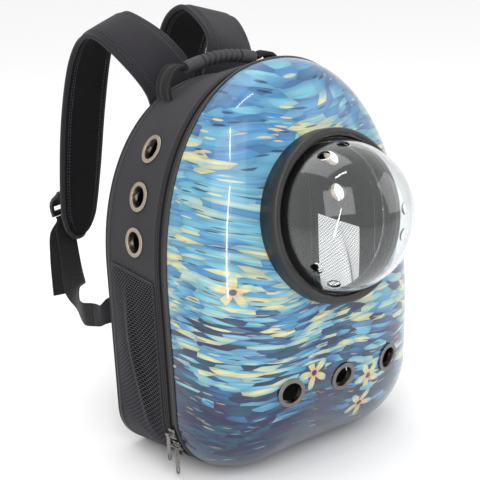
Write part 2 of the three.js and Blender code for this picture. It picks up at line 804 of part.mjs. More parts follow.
// A pull: a knuckle round the bar, a flat tongue and a long hole near its end
function pull() {
  const eye = BAR_RADIUS + GAP;
  const knuckle = eye + PULL_KNUCKLE_WALL;
  const shape = new THREE.Shape();
  shape.absarc(0, 0, knuckle, 0, 2 * Math.PI, false);
  const hole = new THREE.Path();
  hole.absarc(0, 0, eye, 0, 2 * Math.PI, true);
  shape.holes.push(hole);
  const curveSegments = PULL_CURVE_STEPS;
  const roll = new THREE.ExtrudeGeometry(shape, { depth: PULL_WIDTH, bevelEnabled: false, curveSegments });
  roll.translate(0, 0, -PULL_WIDTH / 2).rotateX(Math.PI / 2);
  const half = PULL_WIDTH / 2;
  const start = eye + PULL_KNUCKLE_WALL * 0.4;
  const end = PULL_LENGTH - half;
  const tongue = new THREE.Shape();
  tongue.moveTo(-half, -start);
  tongue.lineTo(-half, -end);
  tongue.absarc(0, -end, half, Math.PI, 2 * Math.PI, false);
  tongue.lineTo(half, -start);
  const slot = new THREE.Path();
  const slotLow = PULL_LENGTH - PULL_SLOT_EDGE - PULL_SLOT_WIDTH / 2;
  const slotHigh = slotLow - (PULL_SLOT_LENGTH - PULL_SLOT_WIDTH);
  slot.absarc(0, -slotHigh, PULL_SLOT_WIDTH / 2, 0, Math.PI, false);
  slot.absarc(0, -slotLow, PULL_SLOT_WIDTH / 2, Math.PI, 2 * Math.PI, false);
  tongue.holes.push(slot);
  const flat = new THREE.ExtrudeGeometry(tongue, { depth: PULL_THICKNESS, bevelEnabled: false, curveSegments });
  flat.translate(0, 0, -PULL_THICKNESS / 2).rotateX(Math.PI / 2).rotateZ(Math.PI / 2);
  return join([roll, flat]);
}

// A flat or padded band swept along stations. Each station gives its middle, the direction
// across and its width; the thickness direction is square to the way the band runs.
function sweptBand(stations, thickness, section) {
  const middles = stations.map(({ middle }) => middle);
  const sections = stations.map(({ middle, across, width }, i) => {
    const before = middles[Math.max(i - 1, 0)];
    const after = middles[Math.min(i + 1, middles.length - 1)];
    const along = after.clone().sub(before).normalize();
    const side = across.clone().addScaledVector(along, -across.dot(along)).normalize();
    const normal = new THREE.Vector3().crossVectors(along, side).normalize();
    return section.map(([out, up]) => middle.clone()
      .addScaledVector(side, (out * width) / 2)
      .addScaledVector(normal, (up * thickness) / 2));
  });
  return skin(sections, false);
}

const FLAT_SECTION = [[-1, -1], [1, -1], [1, 1], [-1, 1]];
const PADDED_SECTION = [
  [-1, 0.2],
  [-1, -0.4],
  [-0.86, -1],
  [0.86, -1],
  [1, -0.4],
  [1, 0.2],
  [0.86, 1],
  [-0.86, 1],
];

// Smooth stations between the rows of a table, by centripetal curves through the named columns
function smoothStations(rows, steps, place) {
  const middle = new THREE.CatmullRomCurve3(rows.map((row) => place(row)), false, 'centripetal');
  const values = rows.map(({ yaw, tilt, width }) => new THREE.Vector3(yaw, tilt, width));
  const turns = new THREE.CatmullRomCurve3(values, false, 'catmullrom');
  const stations = [];
  for (let i = 0; i <= steps; i += 1) {
    const share = i / steps;
    const turn = turns.getPoint(share);
    stations.push({ middle: middle.getPoint(share), yaw: turn.x, tilt: turn.y, width: turn.z });
  }
  return stations;
}

// Strap course: out is a share of STRAP_OUT, back of STRAP_REACH behind the padded back, up of
// the rise from STRAP_END to STRAP_TOP, width of STRAP_WIDTH; yaw and tilt turn the strap's face
const strapCourse = [
  { out: 0.4, back: 0.036, up: 0.66, yaw: 0, tilt: 6, width: 0.95 },
  { out: 0.46, back: 0.045, up: 0.76, yaw: 0, tilt: 20, width: 1 },
  { out: 0.6, back: 0.1, up: 0.855, yaw: 5, tilt: 27, width: 1 },
  { out: 0.72, back: 0.31, up: 0.955, yaw: 10, tilt: 20, width: 1 },
  { out: 0.78, back: 0.53, up: 1, yaw: 17, tilt: 16, width: 1 },
  { out: 0.76, back: 0.72, up: 0.957, yaw: 17, tilt: 9, width: 1 },
  { out: 0.75, back: 0.87, up: 0.82, yaw: 12, tilt: 0, width: 1 },
  { out: 0.8, back: 0.97, up: 0.575, yaw: 10, tilt: 0, width: 1 },
  { out: 0.9, back: 0.993, up: 0.28, yaw: 14, tilt: 0, width: 1 },
  { out: 0.96, back: 1, up: 0.1, yaw: 17, tilt: 0, width: 0.9 },
  { out: 0.99, back: 1, up: 0.03, yaw: 18, tilt: 0, width: 0.62 },
  { out: 1, back: 1, up: 0, yaw: 18, tilt: 0, width: 0.25 },
];
const buckleRow = strapCourse[9];

function strapPlace(side, row) {
  return new THREE.Vector3(
    side * STRAP_OUT * row.out,
    PANEL_BACK + STRAP_REACH * row.back,
    mix(STRAP_END, STRAP_TOP, row.up),
  );
}

function acrossOf(side, yaw, tilt) {
  const [a, b] = [radians(yaw), radians(tilt)];
  return new THREE.Vector3(side * Math.cos(a) * Math.cos(b), -Math.sin(a) * Math.cos(b), -Math.sin(b));
}

function strap(side) {
  const stations = smoothStations(strapCourse, STRAP_STEPS, (row) => strapPlace(side, row));
  return sweptBand(stations.map(({ middle, yaw, tilt, width }) => ({
    middle,
    across: acrossOf(side, yaw, tilt),
    width: STRAP_WIDTH * width,
  })), STRAP_THICKNESS, PADDED_SECTION);
}

// A ladder buckle behind the strap's end: a curved plate with two slots
const buckleCourse = [
  { back: 0, up: 1 },
  { back: 0.18, up: 0.88 },
  { back: 0.78, up: 0.66 },
  { back: 1, up: 0.42 },
  { back: 0.9, up: 0.16 },
  { back: 0.74, up: 0 },
];

function buckleCurve(side) {
  const start = strapPlace(side, buckleRow);
  const across = acrossOf(side, buckleRow.yaw, 0);
  const behind = new THREE.Vector3(side * Math.sin(radians(buckleRow.yaw)), Math.cos(radians(buckleRow.yaw)), 0);
  const seat = (STRAP_THICKNESS + BUCKLE_THICKNESS) / 2 + BUCKLE_SEAT;
  const place = ({ back, up }) => start.clone()
    .addScaledVector(across, BUCKLE_OUT)
    .addScaledVector(behind, seat + BUCKLE_STANDOFF * back)
    .add(new THREE.Vector3(0, 0, BUCKLE_UP * up));
  return { curve: new THREE.CatmullRomCurve3(buckleCourse.map(place)), across };
}

function buckle(side) {
  const { curve, across } = buckleCurve(side);
  const stations = [];
  for (let i = 0; i <= BUCKLE_STEPS; i += 1) {
    stations.push({ middle: curve.getPoint(i / BUCKLE_STEPS), across, width: BUCKLE_WIDTH });
  }
  const plate = sweptBand(stations, BUCKLE_THICKNESS, FLAT_SECTION);
  const slots = BUCKLE_SLOT_SHARES.map((share) => {
    const middle = curve.getPoint(share);
    const along = curve.getTangent(share);
    const normal = new THREE.Vector3().crossVectors(along, across).normalize();
    const corners = (depth) => FLAT_SECTION.map(([a, b]) => middle.clone()
      .addScaledVector(normal, depth)
      .addScaledVector(across, (a * BUCKLE_SLOT_WIDTH) / 2)
      .addScaledVector(along, (b * BUCKLE_SLOT_HEIGHT) / 2));
    return skin([corners(-BUCKLE_THICKNESS * 2), corners(BUCKLE_THICKNESS * 2)], false);
  });
  return cut(plate, slots);
}

// Webbing from the buckle to the tab. Out and back are shares of the way from the buckle's foot
// to the tab's end, up is a share of the height between them, and turn is how far the webbing
// has twisted from lying flat behind the strap to standing on edge.
const webbingCourse = [
  { out: 0, back: 0, up: 1, turn: 0 },
  { out: 0.05, back: 0.028, up: 0.8, turn: 0 },
  { out: 0.18, back: 0.16, up: 0.36, turn: 0.02 },
  { out: 0.42, back: 0.35, up: 0.1, turn: 0.4 },
  { out: 0.66, back: 0.54, up: 0.03, turn: 0.75 },
];

// The tail hangs behind the webbing. Down is a share of its length, out and back of WEBBING_WIDTH.
const tailCourse = [
  { out: 0, back: 0, down: 0 },
  { out: 0.14, back: 0.25, down: 0.25 },
  { out: 0.38, back: 0.02, down: 0.5 },
  { out: 0.55, back: -0.24, down: 0.76 },
  { out: 0.62, back: -0.4, down: 1 },
];

// The webbing and its tail leave the buckle's foot side by side, behind +1 and before -1
function buckleFoot(side, layer) {
  const { curve, across } = buckleCurve(side);
  const down = curve.getTangent(1);
  const behind = new THREE.Vector3().crossVectors(across, down).normalize();
  behind.multiplyScalar(Math.sign(behind.y));
  const start = curve.getPoint(1)
    .addScaledVector(down, 2 * GAP)
    .addScaledVector(behind, (layer * (WEBBING_THICKNESS + 4 * GAP)) / 2);
  return { start, leave: start.clone().addScaledVector(down, WEBBING_LEAVE), across };
}

// The way the tab and the webbing run where they meet, and the way they stand across
const tabRun = (side) => new THREE.Vector3(side * 0.2, 1, -0.1).normalize();
const onEdge = new THREE.Vector3(0, -0.3, -1).normalize();

function tabEnd(side) {
  return new THREE.Vector3(side * (BACK_WIDTH / 2 + 1), PANEL_BACK + TAB_REACH, TAB_HEIGHT - TAB_DROP);
}

function bandAlong(points, acrosses, widths, steps, thickness) {
  const middle = new THREE.CatmullRomCurve3(points, false, 'centripetal');
  const turn = new THREE.CatmullRomCurve3(acrosses, false, 'catmullrom');
  const spread = widths.map((w) => new THREE.Vector3(w, 0, 0));
  const width = new THREE.CatmullRomCurve3(spread, false, 'catmullrom');
  const stations = [];
  for (let i = 0; i <= steps; i += 1) {
    const share = i / steps;
    const across = turn.getPoint(share);
    stations.push({ middle: middle.getPoint(share), across, width: width.getPoint(share).x });
  }
  return sweptBand(stations, thickness, FLAT_SECTION);
}

function webbing(side) {
  const { start, leave, across } = buckleFoot(side, -1);
  const end = tabEnd(side).addScaledVector(tabRun(side), 4 * GAP);
  const points = webbingCourse.map(({ out, back, up }) => new THREE.Vector3(
    mix(start.x, end.x, out),
    mix(start.y, end.y, back),
    mix(end.z, start.z, up),
  ));
  points.push(end.clone().addScaledVector(tabRun(side), TAB_REACH * 0.6), end);
  const flat = acrossOf(side, 0, WEBBING_TILT);
  const turns = webbingCourse.map(({ turn }) => turn).concat([1, 1]);
  const acrosses = turns.map((turn) => flat.clone().lerp(onEdge, turn).normalize());
  points.splice(0, 1, start, leave);
  acrosses.splice(0, 1, across, across);
  const widths = points.map(() => WEBBING_WIDTH);
  return bandAlong(points, acrosses, widths, WEBBING_STEPS, WEBBING_THICKNESS);
}

function tail(side) {
  const { start, leave, across } = buckleFoot(side, 1);
  const points = tailCourse.map(({ out, back, down }) => new THREE.Vector3(
    start.x + side * WEBBING_WIDTH * out,
    start.y + WEBBING_WIDTH * back,
    start.z - TAIL_LENGTH * down,
  ));
  const flat = acrossOf(side, TAIL_YAW, WEBBING_TILT);
  const acrosses = tailCourse.map(() => flat);
  points.splice(0, 1, start, leave);
  acrosses.splice(0, 1, across, across);
  const widths = points.map(() => WEBBING_WIDTH);
  return bandAlong(points, acrosses, widths, TAIL_STEPS, WEBBING_THICKNESS);
}

// The tab is wide in the seam, narrows, and widens again to take the webbing
function tab(side) {
  const end = tabEnd(side);
  const rootX = side * (BACK_WIDTH / 2 - TAB_ROOT_INSET);
  const root = new THREE.Vector3(rootX, PANEL_BACK + 3 * GAP, TAB_HEIGHT);
  const before = end.clone().addScaledVector(tabRun(side), -TAB_REACH * 0.3);
  const waist = root.clone().lerp(before, 0.6).add(new THREE.Vector3(side * TAB_BOW, 0, 0));
  const rootEnd = root.clone().add(new THREE.Vector3(0, TAB_REACH * 0.2, 0));
  const shares = [1, 0.9, TAB_WAIST_SHARE, 0.72, WEBBING_WIDTH / TAB_ROOT_WIDTH];
  const down = new THREE.Vector3(0, 0, -1);
  const acrosses = [down, down, down, onEdge, onEdge];
  const widths = shares.map((share) => share * TAB_ROOT_WIDTH);
  return bandAlong([root, rootEnd, waist, before, end], acrosses, widths, TAB_STEPS, TAB_THICKNESS);
}

// Moulded handle: a smooth-ended grip with raised ribs round its middle, slightly arched
function handleLevel() {
  const share = (HANDLE_BACK - RIM_Y) / BODY_DEPTH;
  return mix(FRONT_HEIGHT, BACK_HEIGHT, share) + HANDLE_LIFT;
}

function handleMiddle(x) {
  const bend = Math.cos((Math.PI * x) / HANDLE_LENGTH);
  return new THREE.Vector3(x, HANDLE_BACK, handleLevel() + HANDLE_ARCH * bend);
}

function handleGrip() {
  const half = HANDLE_LENGTH / 2;
  const ribbed = half * GRIP_RIB_SHARE;
  const pitch = (2 * ribbed) / GRIP_RIBS;
  const groove = 1 - GRIP_RIB_DEPTH / GRIP_RADIUS;
  const ends = [
    { x: half, share: 0.86 },
    { x: half - GRIP_EDGE, share: 1 },
    { x: half - 4 * GRIP_EDGE, share: 1.04 },
  ];
  const rows = ends.map(({ x, share }) => ({ x: -x, share }));
  for (let i = 0; i < GRIP_RIBS; i += 1) {
    const x = -ribbed + (i + 0.5) * pitch;
    rows.push({ x: x - pitch * 0.46, share: groove });
    rows.push({ x: x - pitch * 0.2, share: 1 });
    rows.push({ x: x + pitch * 0.2, share: 1 });
  }
  rows.push({ x: ribbed, share: groove }, ...ends.reverse());
  const sections = rows.map(({ x, share }) => {
    const middle = handleMiddle(x);
    const slope = handleMiddle(x + 1).z - handleMiddle(x - 1).z;
    const along = new THREE.Vector3(2, 0, slope).normalize();
    const frame = roundFrame(middle, along, new THREE.Vector3(0, 1, 0));
    const ring = [];
    for (let i = 0; i < GRIP_SIDES; i += 1) {
      ring.push(frame(GRIP_RADIUS * share, (i / GRIP_SIDES) * 2 * Math.PI, 0));
    }
    return ring;
  });
  return skin(sections, false);
}

// Folded webbing from the grip's end, over and down on to the fabric top
const handleEndCourse = [
  { out: 0, up: 1, width: 0.55 },
  { out: 0.25, up: 1.1, width: 0.66 },
  { out: 0.62, up: 1.05, width: 0.85 },
  { out: 0.9, up: 0.72, width: 0.95 },
  { out: 1, up: 0.34, width: 1 },
  { out: 0.96, up: 0, width: 1.05 },
];

function handleEnd(side) {
  const start = HANDLE_LENGTH / 2 + GAP + HANDLE_END_ROOM;
  const top = handleLevel();
  const last = handleEndCourse[handleEndCourse.length - 1];
  const footX = start + HANDLE_END_OUT * last.out - HANDLE_END_THICKNESS / 2;
  const footY = HANDLE_BACK - (HANDLE_END_WIDTH * last.width) / 2;
  const foot = facetHeight(footX, footY) + GAP;
  const points = handleEndCourse.map(({ out, up }) => new THREE.Vector3(
    side * (start + HANDLE_END_OUT * out),
    HANDLE_BACK,
    mix(foot, top, up),
  ));
  const across = new THREE.Vector3(0, side, 0);
  const widths = handleEndCourse.map(({ width }) => HANDLE_END_WIDTH * width);
  const acrosses = points.map(() => across);
  return bandAlong(points, acrosses, widths, HANDLE_END_STEPS, HANDLE_END_THICKNESS);
}

// Assembly
const carrier = new THREE.Group();

function addPiece(name, geometry, look, parent = carrier) {
  geometry.computeVertexNormals();
  const mesh = new THREE.Mesh(geometry, new THREE.MeshStandardMaterial(looks[look]));
  mesh.name = name;
  parent.add(mesh);
  return mesh;
}

function addEyelets(prefix, places, wall) {
  places.forEach(({ centre, axis }, i) => {
    const mesh = addPiece(`${prefix}_${i + 1}`, eyelet(wall), 'metal');
    mesh.position.copy(centre);
    mesh.quaternion.setFromUnitVectors(new THREE.Vector3(0, 0, 1), axis);
  });
}

function addSlider(name, height, half) {
  const { x, z, lean } = sliderPlace(height);
  const mount = new THREE.Group();
  mount.position.set(x, ZIP_MIDDLE, z);
  mount.rotation.y = -lean;
  carrier.add(mount);
  addPiece(`zip_slider_${name}`, slider(), 'darkMetal', mount);
  const pullMesh = addPiece(`zip_pull_${name}`, pull(), 'darkMetal');
  pullMesh.position.set(
    x - barLift * Math.cos(lean),
    ZIP_MIDDLE + half * (PULL_WIDTH / 2 + GAP),
    z - barLift * Math.sin(lean),
  );
}

addPiece('front_shell', frontShell(), 'shell');
addPiece('bubble_ring', bubbleRing(), 'ring');
addPiece('bubble_dome', bubbleDome(), 'dome');
addEyelets('eyelet_front', frontEyeletPlaces(), SHELL_WALL);
addEyelets('eyelet_left', sideEyeletPlaces(-1), FABRIC_WALL);
addEyelets('eyelet_right', sideEyeletPlaces(1), FABRIC_WALL);
addPiece('rim_piping', piping(RIM_Y + GAP + PIPING_RADIUS), 'piping');
addPiece('back_piping', piping(BACK_Y - GAP - PIPING_RADIUS), 'piping');
addPiece('zip_band', zipBand(), 'fabric');
addPiece('zip_chain', zipChain(), 'webbing');
addSlider('upper', SLIDER_UPPER_HEIGHT, 1);
addSlider('lower', SLIDER_LOWER_HEIGHT, -1);
addPiece('gusset', gusset(), 'fabric');
addPiece('back_panel', backPanel(), 'fabric');
addPiece('handle_grip', handleGrip(), 'grip');
for (const [name, side] of [['left', -1], ['right', 1]]) {
  addPiece(`mesh_${name}`, netPanel(side), 'net');
  addPiece(`handle_end_${name}`, handleEnd(side), 'webbing');
  addPiece(`strap_${name}`, strap(side), 'fabric');
  addPiece(`buckle_${name}`, buckle(side), 'ring');
  addPiece(`webbing_${name}`, webbing(side), 'webbing');
  addPiece(`tail_${name}`, tail(side), 'webbing');
  addPiece(`tab_${name}`, tab(side), 'fabric');
}

export default carrier;
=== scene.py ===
"""Bubble pet carrier backpack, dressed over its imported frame.

Shape functions work in millimetres, as the part's source does, and a mesh is made in metres.
X is right seen from the front, the front faces -Y and Z is up.
"""

import math

import bpy
import numpy as np
from bpy.props import FloatProperty, FloatVectorProperty, IntProperty, PointerProperty
from bpy.types import Operator, Panel, PropertyGroup
from mathutils import Matrix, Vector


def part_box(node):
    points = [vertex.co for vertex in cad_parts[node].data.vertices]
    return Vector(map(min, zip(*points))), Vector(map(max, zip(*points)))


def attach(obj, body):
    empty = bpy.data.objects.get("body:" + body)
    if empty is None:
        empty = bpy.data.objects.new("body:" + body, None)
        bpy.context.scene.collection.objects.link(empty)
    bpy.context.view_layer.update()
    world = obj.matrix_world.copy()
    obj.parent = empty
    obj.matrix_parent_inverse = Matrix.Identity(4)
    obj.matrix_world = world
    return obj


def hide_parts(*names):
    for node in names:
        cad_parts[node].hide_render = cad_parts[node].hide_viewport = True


bl_info = {
    "name": "Bubble carrier dressing",
    "version": (1, 0, 0),
    "blender": (4, 5, 0),
    "location": "3D View > Sidebar > Carrier",
    "description": "Dresses the frame of a bubble pet carrier backpack",
    "category": "Object",
}

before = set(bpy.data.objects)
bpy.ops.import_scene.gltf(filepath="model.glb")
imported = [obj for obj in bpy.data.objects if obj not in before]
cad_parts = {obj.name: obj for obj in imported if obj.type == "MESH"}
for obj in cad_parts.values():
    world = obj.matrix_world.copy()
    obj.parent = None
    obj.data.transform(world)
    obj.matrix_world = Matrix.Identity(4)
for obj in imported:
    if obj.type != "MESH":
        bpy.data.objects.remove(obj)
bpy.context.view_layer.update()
MM = 0.001
METRE = 1000


def span(node):
    """Lowest and highest corner of a CAD node in millimetres."""
    low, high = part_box(node)
    return np.array(low) * METRE, np.array(high) * METRE


# Fits and body sizes, read from the frame where it has them
GAP = 0.3
SHELL_INSET = 0.6
SHELL_LOW, SHELL_HIGH = span("front_shell")
PANEL_LOW, PANEL_HIGH = span("back_panel")
RIM_Y = SHELL_HIGH[1]
BACK_Y = PANEL_LOW[1] - GAP
BODY_DEPTH = BACK_Y - RIM_Y
FRONT_WIDTH = 2 * (SHELL_HIGH[0] + SHELL_INSET)
FRONT_HEIGHT = SHELL_HIGH[2] + SHELL_INSET
FRONT_CORNER = 68.0
BACK_WIDTH = 2 * PANEL_HIGH[0]
BACK_HEIGHT = PANEL_HIGH[2]
BACK_CORNER = 46.0
PANEL_BACK = PANEL_HIGH[1]
SPRING_HEIGHT = 208.0
ARCH_POWER = 0.92
SIDE_TAPER = 2.0
CLOTH_MIDDLE_HEIGHT = 160.0
BACK_MIDDLE_HEIGHT = 185.0
BASE_POINTS, CORNER_POINTS, SIDE_POINTS, ARCH_POINTS = 12, 22, 16, 84

# Hard front
SHELL_DEPTH = RIM_Y - SHELL_LOW[1]
SHELL_WALL = 2.0
SHELL_CENTRE_HEIGHT = 148.0
BULGE_SIDE, BULGE_BOTTOM, BULGE_TOP = 2.46, 2.06, 2.0
BULGE_BLEND = 1.5

# Bubble opening
RING_CENTRE = np.array([0, RIM_Y - 92, 270.0])
RING_TILT = math.radians(10)
RING_OUTER, RING_INNER = 88.0, 78.0
RING_SLEEVE = 2.6
RING_LIP = 4.0
RING_SHOULDER = 5.0
SLEEVE_REACH = 2.5
DOME_RADIUS = RING_INNER - 0.5
DOME_WALL = 2.5
DOME_CENTRE_BACK = 4.0
DOME_SKIRT = 10.0
VENT_RADIUS = 6.5
VENT_RISE = 23.0
VENT_TURNS = [104 + 120 * pair + half for pair in range(3) for half in (-11, 11)]

# Eyelets
EYELET_HOLE = 10.75
EYELET_TUBE = EYELET_HOLE + 1.1
EYELET_OUTER = 15.5
EYELET_RISE = 2.0
EYELET_TURNED_IN = 2.4
EYELET_LIP = 0.8

# Cords, zip and cloth
PIPING_RADIUS = 2.0
PIPING_PROUD = 1.6
BAND_FRONT = RIM_Y + 2 * PIPING_RADIUS + 2 * GAP
FLAP_FRONT = BAND_FRONT + 9.4
BAND_BACK = FLAP_FRONT + 6.4
ZIP_RECESS = 2.2
ZIP_TAPE = 2.0
ZIP_MIDDLE = (BAND_FRONT + FLAP_FRONT) / 2
TOOTH_ROW_OUT = 1.15
TOOTH_WIDTH = 1.3
TOOTH_HEIGHT = 1.4
TOOTH_SHARE = 0.36
FABRIC_WALL = 2.4
CLOTH_RIPPLE, CLOTH_RIPPLE_SCALE = 0.7, 26
EDGE_STITCH_INSET = 2.2
STITCH_RADIUS = 0.32
STITCH_STEP = 1.45
BINDING_OUTSET, BINDING_WIDTH, BINDING_THICKNESS = 2.6, 4.6, 1.1
GUSSET_FRONT = BAND_BACK + GAP
GUSSET_BACK = BACK_Y - 2 * PIPING_RADIUS - 2 * GAP
NET_MARGIN = 7.0
NET_TOP_FRONT, NET_TOP_BACK = 205.0, 212.0
NET_LOW_FRONT, NET_LOW_BACK = 14.0, 62.0
NET_LAP = 4.0
NET_STANDOFF = 1.6
NET_BULGE = 7.0
NET_FOLD = 5.0
NET_FOLD_START, NET_FOLD_END, NET_FOLD_WIDTH = 0.18, 0.62, 0.09
NET_ZIGZAG = 0.2

# Handle
HANDLE_BACK = 32.0
HANDLE_LENGTH = 94.0
HANDLE_HEIGHT = 408.0
HANDLE_ARCH = 6.5
GRIP_RADIUS = 7.2
GRIP_RIB_SHARE = 0.56
HANDLE_END_WIDTH = 24.0
HANDLE_END_THICKNESS = 6.0
HANDLE_END_OUT = 28.0
HANDLE_END_ROOM = 2.0

# Shoulder straps. The course's columns are out, back, up, yaw, tilt and width: out is a share of
# STRAP_OUT, back of STRAP_REACH behind the padded back, up of the rise from STRAP_END to STRAP_TOP
# and width of STRAP_WIDTH, and yaw and tilt turn the strap's face in degrees
STRAP_WIDTH = 64.0
STRAP_THICKNESS = 9.0
STRAP_OUT = 87.0
STRAP_REACH = 140.0
STRAP_TOP = 449.0
STRAP_END = 203.0
STRAP_COURSE = np.array([
    (0.40, 0.036, 0.660, 0, 6, 0.95),
    (0.46, 0.045, 0.760, 0, 20, 1.00),
    (0.60, 0.100, 0.855, 5, 27, 1.00),
    (0.72, 0.310, 0.955, 10, 20, 1.00),
    (0.78, 0.530, 1.000, 17, 16, 1.00),
    (0.76, 0.720, 0.957, 17, 9, 1.00),
    (0.75, 0.870, 0.820, 12, 0, 1.00),
    (0.80, 0.970, 0.575, 10, 0, 1.00),
    (0.90, 0.993, 0.280, 14, 0, 1.00),
    (0.96, 1.000, 0.100, 17, 0, 0.90),
    (0.99, 1.000, 0.030, 18, 0, 0.62),
    (1.00, 1.000, 0.000, 18, 0, 0.25),
])
BUCKLE_ROW = 9
BUCKLE_THICKNESS = 3.4
BUCKLE_UP = 30.0
BUCKLE_OUT = 8.0
BUCKLE_STANDOFF = 13.0
BUCKLE_SEAT = 0.7
WEBBING_WIDTH = 26.0
WEBBING_THICKNESS = 1.8
WEBBING_TILT = -8
WEBBING_LEAVE = 4.0
TAIL_LENGTH = 92.0
TAIL_YAW = 8
TAB_HEIGHT = 152.0
TAB_REACH = 25.0
TAB_DROP = 6.0
TAB_ROOT_WIDTH = 34.0
TAB_THICKNESS = 2.4
TAB_WAIST_SHARE = 0.64
TAB_ROOT_INSET = 9.6
TAB_BOW = 2.0
TAIL_HEM = 14
PAD_EDGE = 1.2
STRAP_BINDING_WIDTH, STRAP_BINDING_THICKNESS, STRAP_BINDING_INSET = 7.0, 5.0, 2.6
STRAP_STITCH_INSETS = (7.2, 9.4)

# Camera, from the photograph's view: place in millimetres, axes, and lens for a 36 mm sensor
CAMERA_PLACE = (-852.96, -1035.48, 600.68)
CAMERA_RIGHT = (0.7670407, -0.64020808, -0.04221575)
CAMERA_UP = (0.20746902, 0.18523208, 0.96054447)
CAMERA_LENS = 95.87
FLOOR_REACH, FLOOR_LEVEL = 9000.0, -0.5


def linear(red, green, blue):
    """A display colour from 0 to 255 as scene-linear values."""
    return [((c / 255 + 0.055) / 1.055) ** 2.4 if c > 10 else c / 255 / 12.92 for c in (red, green, blue)]


def colour(name, about, value):
    """A colour property whose default is a display colour."""
    return FloatVectorProperty(
        name=name, description=about, default=linear(*value), subtype="COLOR", size=3, min=0, max=1)


class PaintSettings(PropertyGroup):
    """Colours and stroke sizes of the painted front."""
    navy: colour("Navy", "Darkest strokes near the base", (14, 24, 60))
    plum: colour("Plum", "Purple strokes near the base", (44, 42, 76))
    teal: colour("Teal", "Green-blue strokes", (24, 82, 100))
    sky: colour("Sky", "Main blue", (56, 118, 166))
    aqua: colour("Aqua", "Light blue-green strokes", (104, 168, 184))
    cream: colour("Cream", "Light strokes", (200, 194, 138))
    peach: colour("Peach", "Warm strokes and blossoms", (202, 160, 118))
    stroke: FloatProperty(name="Stroke", description="Length of one brush stroke", default=0.026,
                          min=0.005, unit="LENGTH")
    blossom: FloatProperty(name="Blossom", description="Radius of one painted blossom", default=0.019,
                           min=0.002, unit="LENGTH")


class ClothSettings(PropertyGroup):
    """Colours and sizes of the cloth, net and thread."""
    cloth: colour("Cloth", "Woven sides and straps", (33, 31, 36))
    tape: colour("Tape", "Webbing and zip tape", (17, 16, 17))
    thread: colour("Thread", "Stitching", (66, 63, 70))
    net: colour("Net", "Net threads", (64, 62, 68))
    weave: FloatProperty(name="Weave", description="Width of one woven yarn", default=0.0009,
                         min=0.0002, unit="LENGTH")
    net_pitch: FloatProperty(name="Net pitch", description="Step from one row of net to the next",
                             default=0.0027, min=0.0015, unit="LENGTH")
    net_thread: FloatProperty(name="Net thread", description="Radius of the net's thread", default=0.00042,
                              min=0.0001, unit="LENGTH")
    stitch: FloatProperty(name="Stitch", description="Length of one stitch", default=0.0026,
                          min=0.001, unit="LENGTH")


class TrimSettings(PropertyGroup):
    """Colours and counts of the hard trim."""
    ring: colour("Ring", "Moulded collar of the bubble", (26, 23, 23))
    side_metal: colour("Side eyelets", "Metal of the side eyelets", (172, 160, 146))
    front_metal: colour("Front eyelets", "Metal of the front eyelets", (126, 120, 116))
    slider_metal: colour("Sliders", "Metal of the sliders and pulls", (142, 138, 134))
    grip: colour("Grip", "Rubber of the handle", (56, 54, 58))
    ribs: IntProperty(name="Ribs", description="Ribs round the handle", default=7, min=1, max=20)
    tooth_pitch: FloatProperty(name="Tooth pitch", description="Step from one zip tooth to the next",
                               default=0.0024, min=0.001, unit="LENGTH")


class StageSettings(PropertyGroup):
    """Floor and light."""
    floor: colour("Floor", "Floor", (246, 246, 246))
    softbox: FloatProperty(name="Softbox", description="Power of the main softbox", default=16, min=0)
    streak: FloatProperty(name="Streak", description="Power of the thin strip lights", default=2.2, min=0)
    surround: FloatProperty(name="Surround", description="Strength of the even surround", default=1.0, min=0)


# Outlines and grids


def outline(half_width, top, base, corner):
    """Body outline in front view as (x, z) rows, anticlockwise from the middle of the base: a flat
    base, a quarter circle, a side that leans out by SIDE_TAPER, then an arch whose x and z are
    cos and sin of its turn, each raised to ARCH_POWER."""
    low_x = half_width - SIDE_TAPER
    flat = low_x - corner
    base_share = np.linspace(0, 1, BASE_POINTS, endpoint=False)
    round_turn = np.linspace(0, np.pi / 2, CORNER_POINTS, endpoint=False)
    side_share = np.linspace(0, 1, SIDE_POINTS, endpoint=False)
    arch_turn = np.linspace(0, np.pi / 2, ARCH_POINTS)
    arch_x = half_width * np.abs(np.cos(arch_turn)) ** ARCH_POWER
    arch_x[-1] = 0
    half = np.vstack([
        np.c_[flat * base_share, np.full(BASE_POINTS, base)],
        np.c_[flat + corner * np.sin(round_turn), base + corner * (1 - np.cos(round_turn))],
        np.c_[low_x + SIDE_TAPER * side_share,
              (base + corner) * (1 - side_share) + SPRING_HEIGHT * side_share],
        np.c_[arch_x, SPRING_HEIGHT + (top - SPRING_HEIGHT) * np.sin(arch_turn) ** ARCH_POWER],
    ])
    return np.vstack([half, half[-2:0:-1] * [-1, 1]])


def body_ring(y, offset):
    """Body outline at one depth, grown by an offset whose growth stops at the floor."""
    share = (y - RIM_Y) / BODY_DEPTH
    section = outline(
        (FRONT_WIDTH + (BACK_WIDTH - FRONT_WIDTH) * share) / 2 + offset,
        FRONT_HEIGHT + (BACK_HEIGHT - FRONT_HEIGHT) * share + offset,
        max(-offset, 0.0),
        FRONT_CORNER + (BACK_CORNER - FRONT_CORNER) * share + offset,
    )
    return np.c_[section[:, 0], np.full(len(section), y), section[:, 1]]


def body_loop(profile):
    """Grid of a closed profile of (depth, offset) rows carried all round the body."""
    return np.stack([body_ring(y, offset) for y, offset in profile], axis=1)


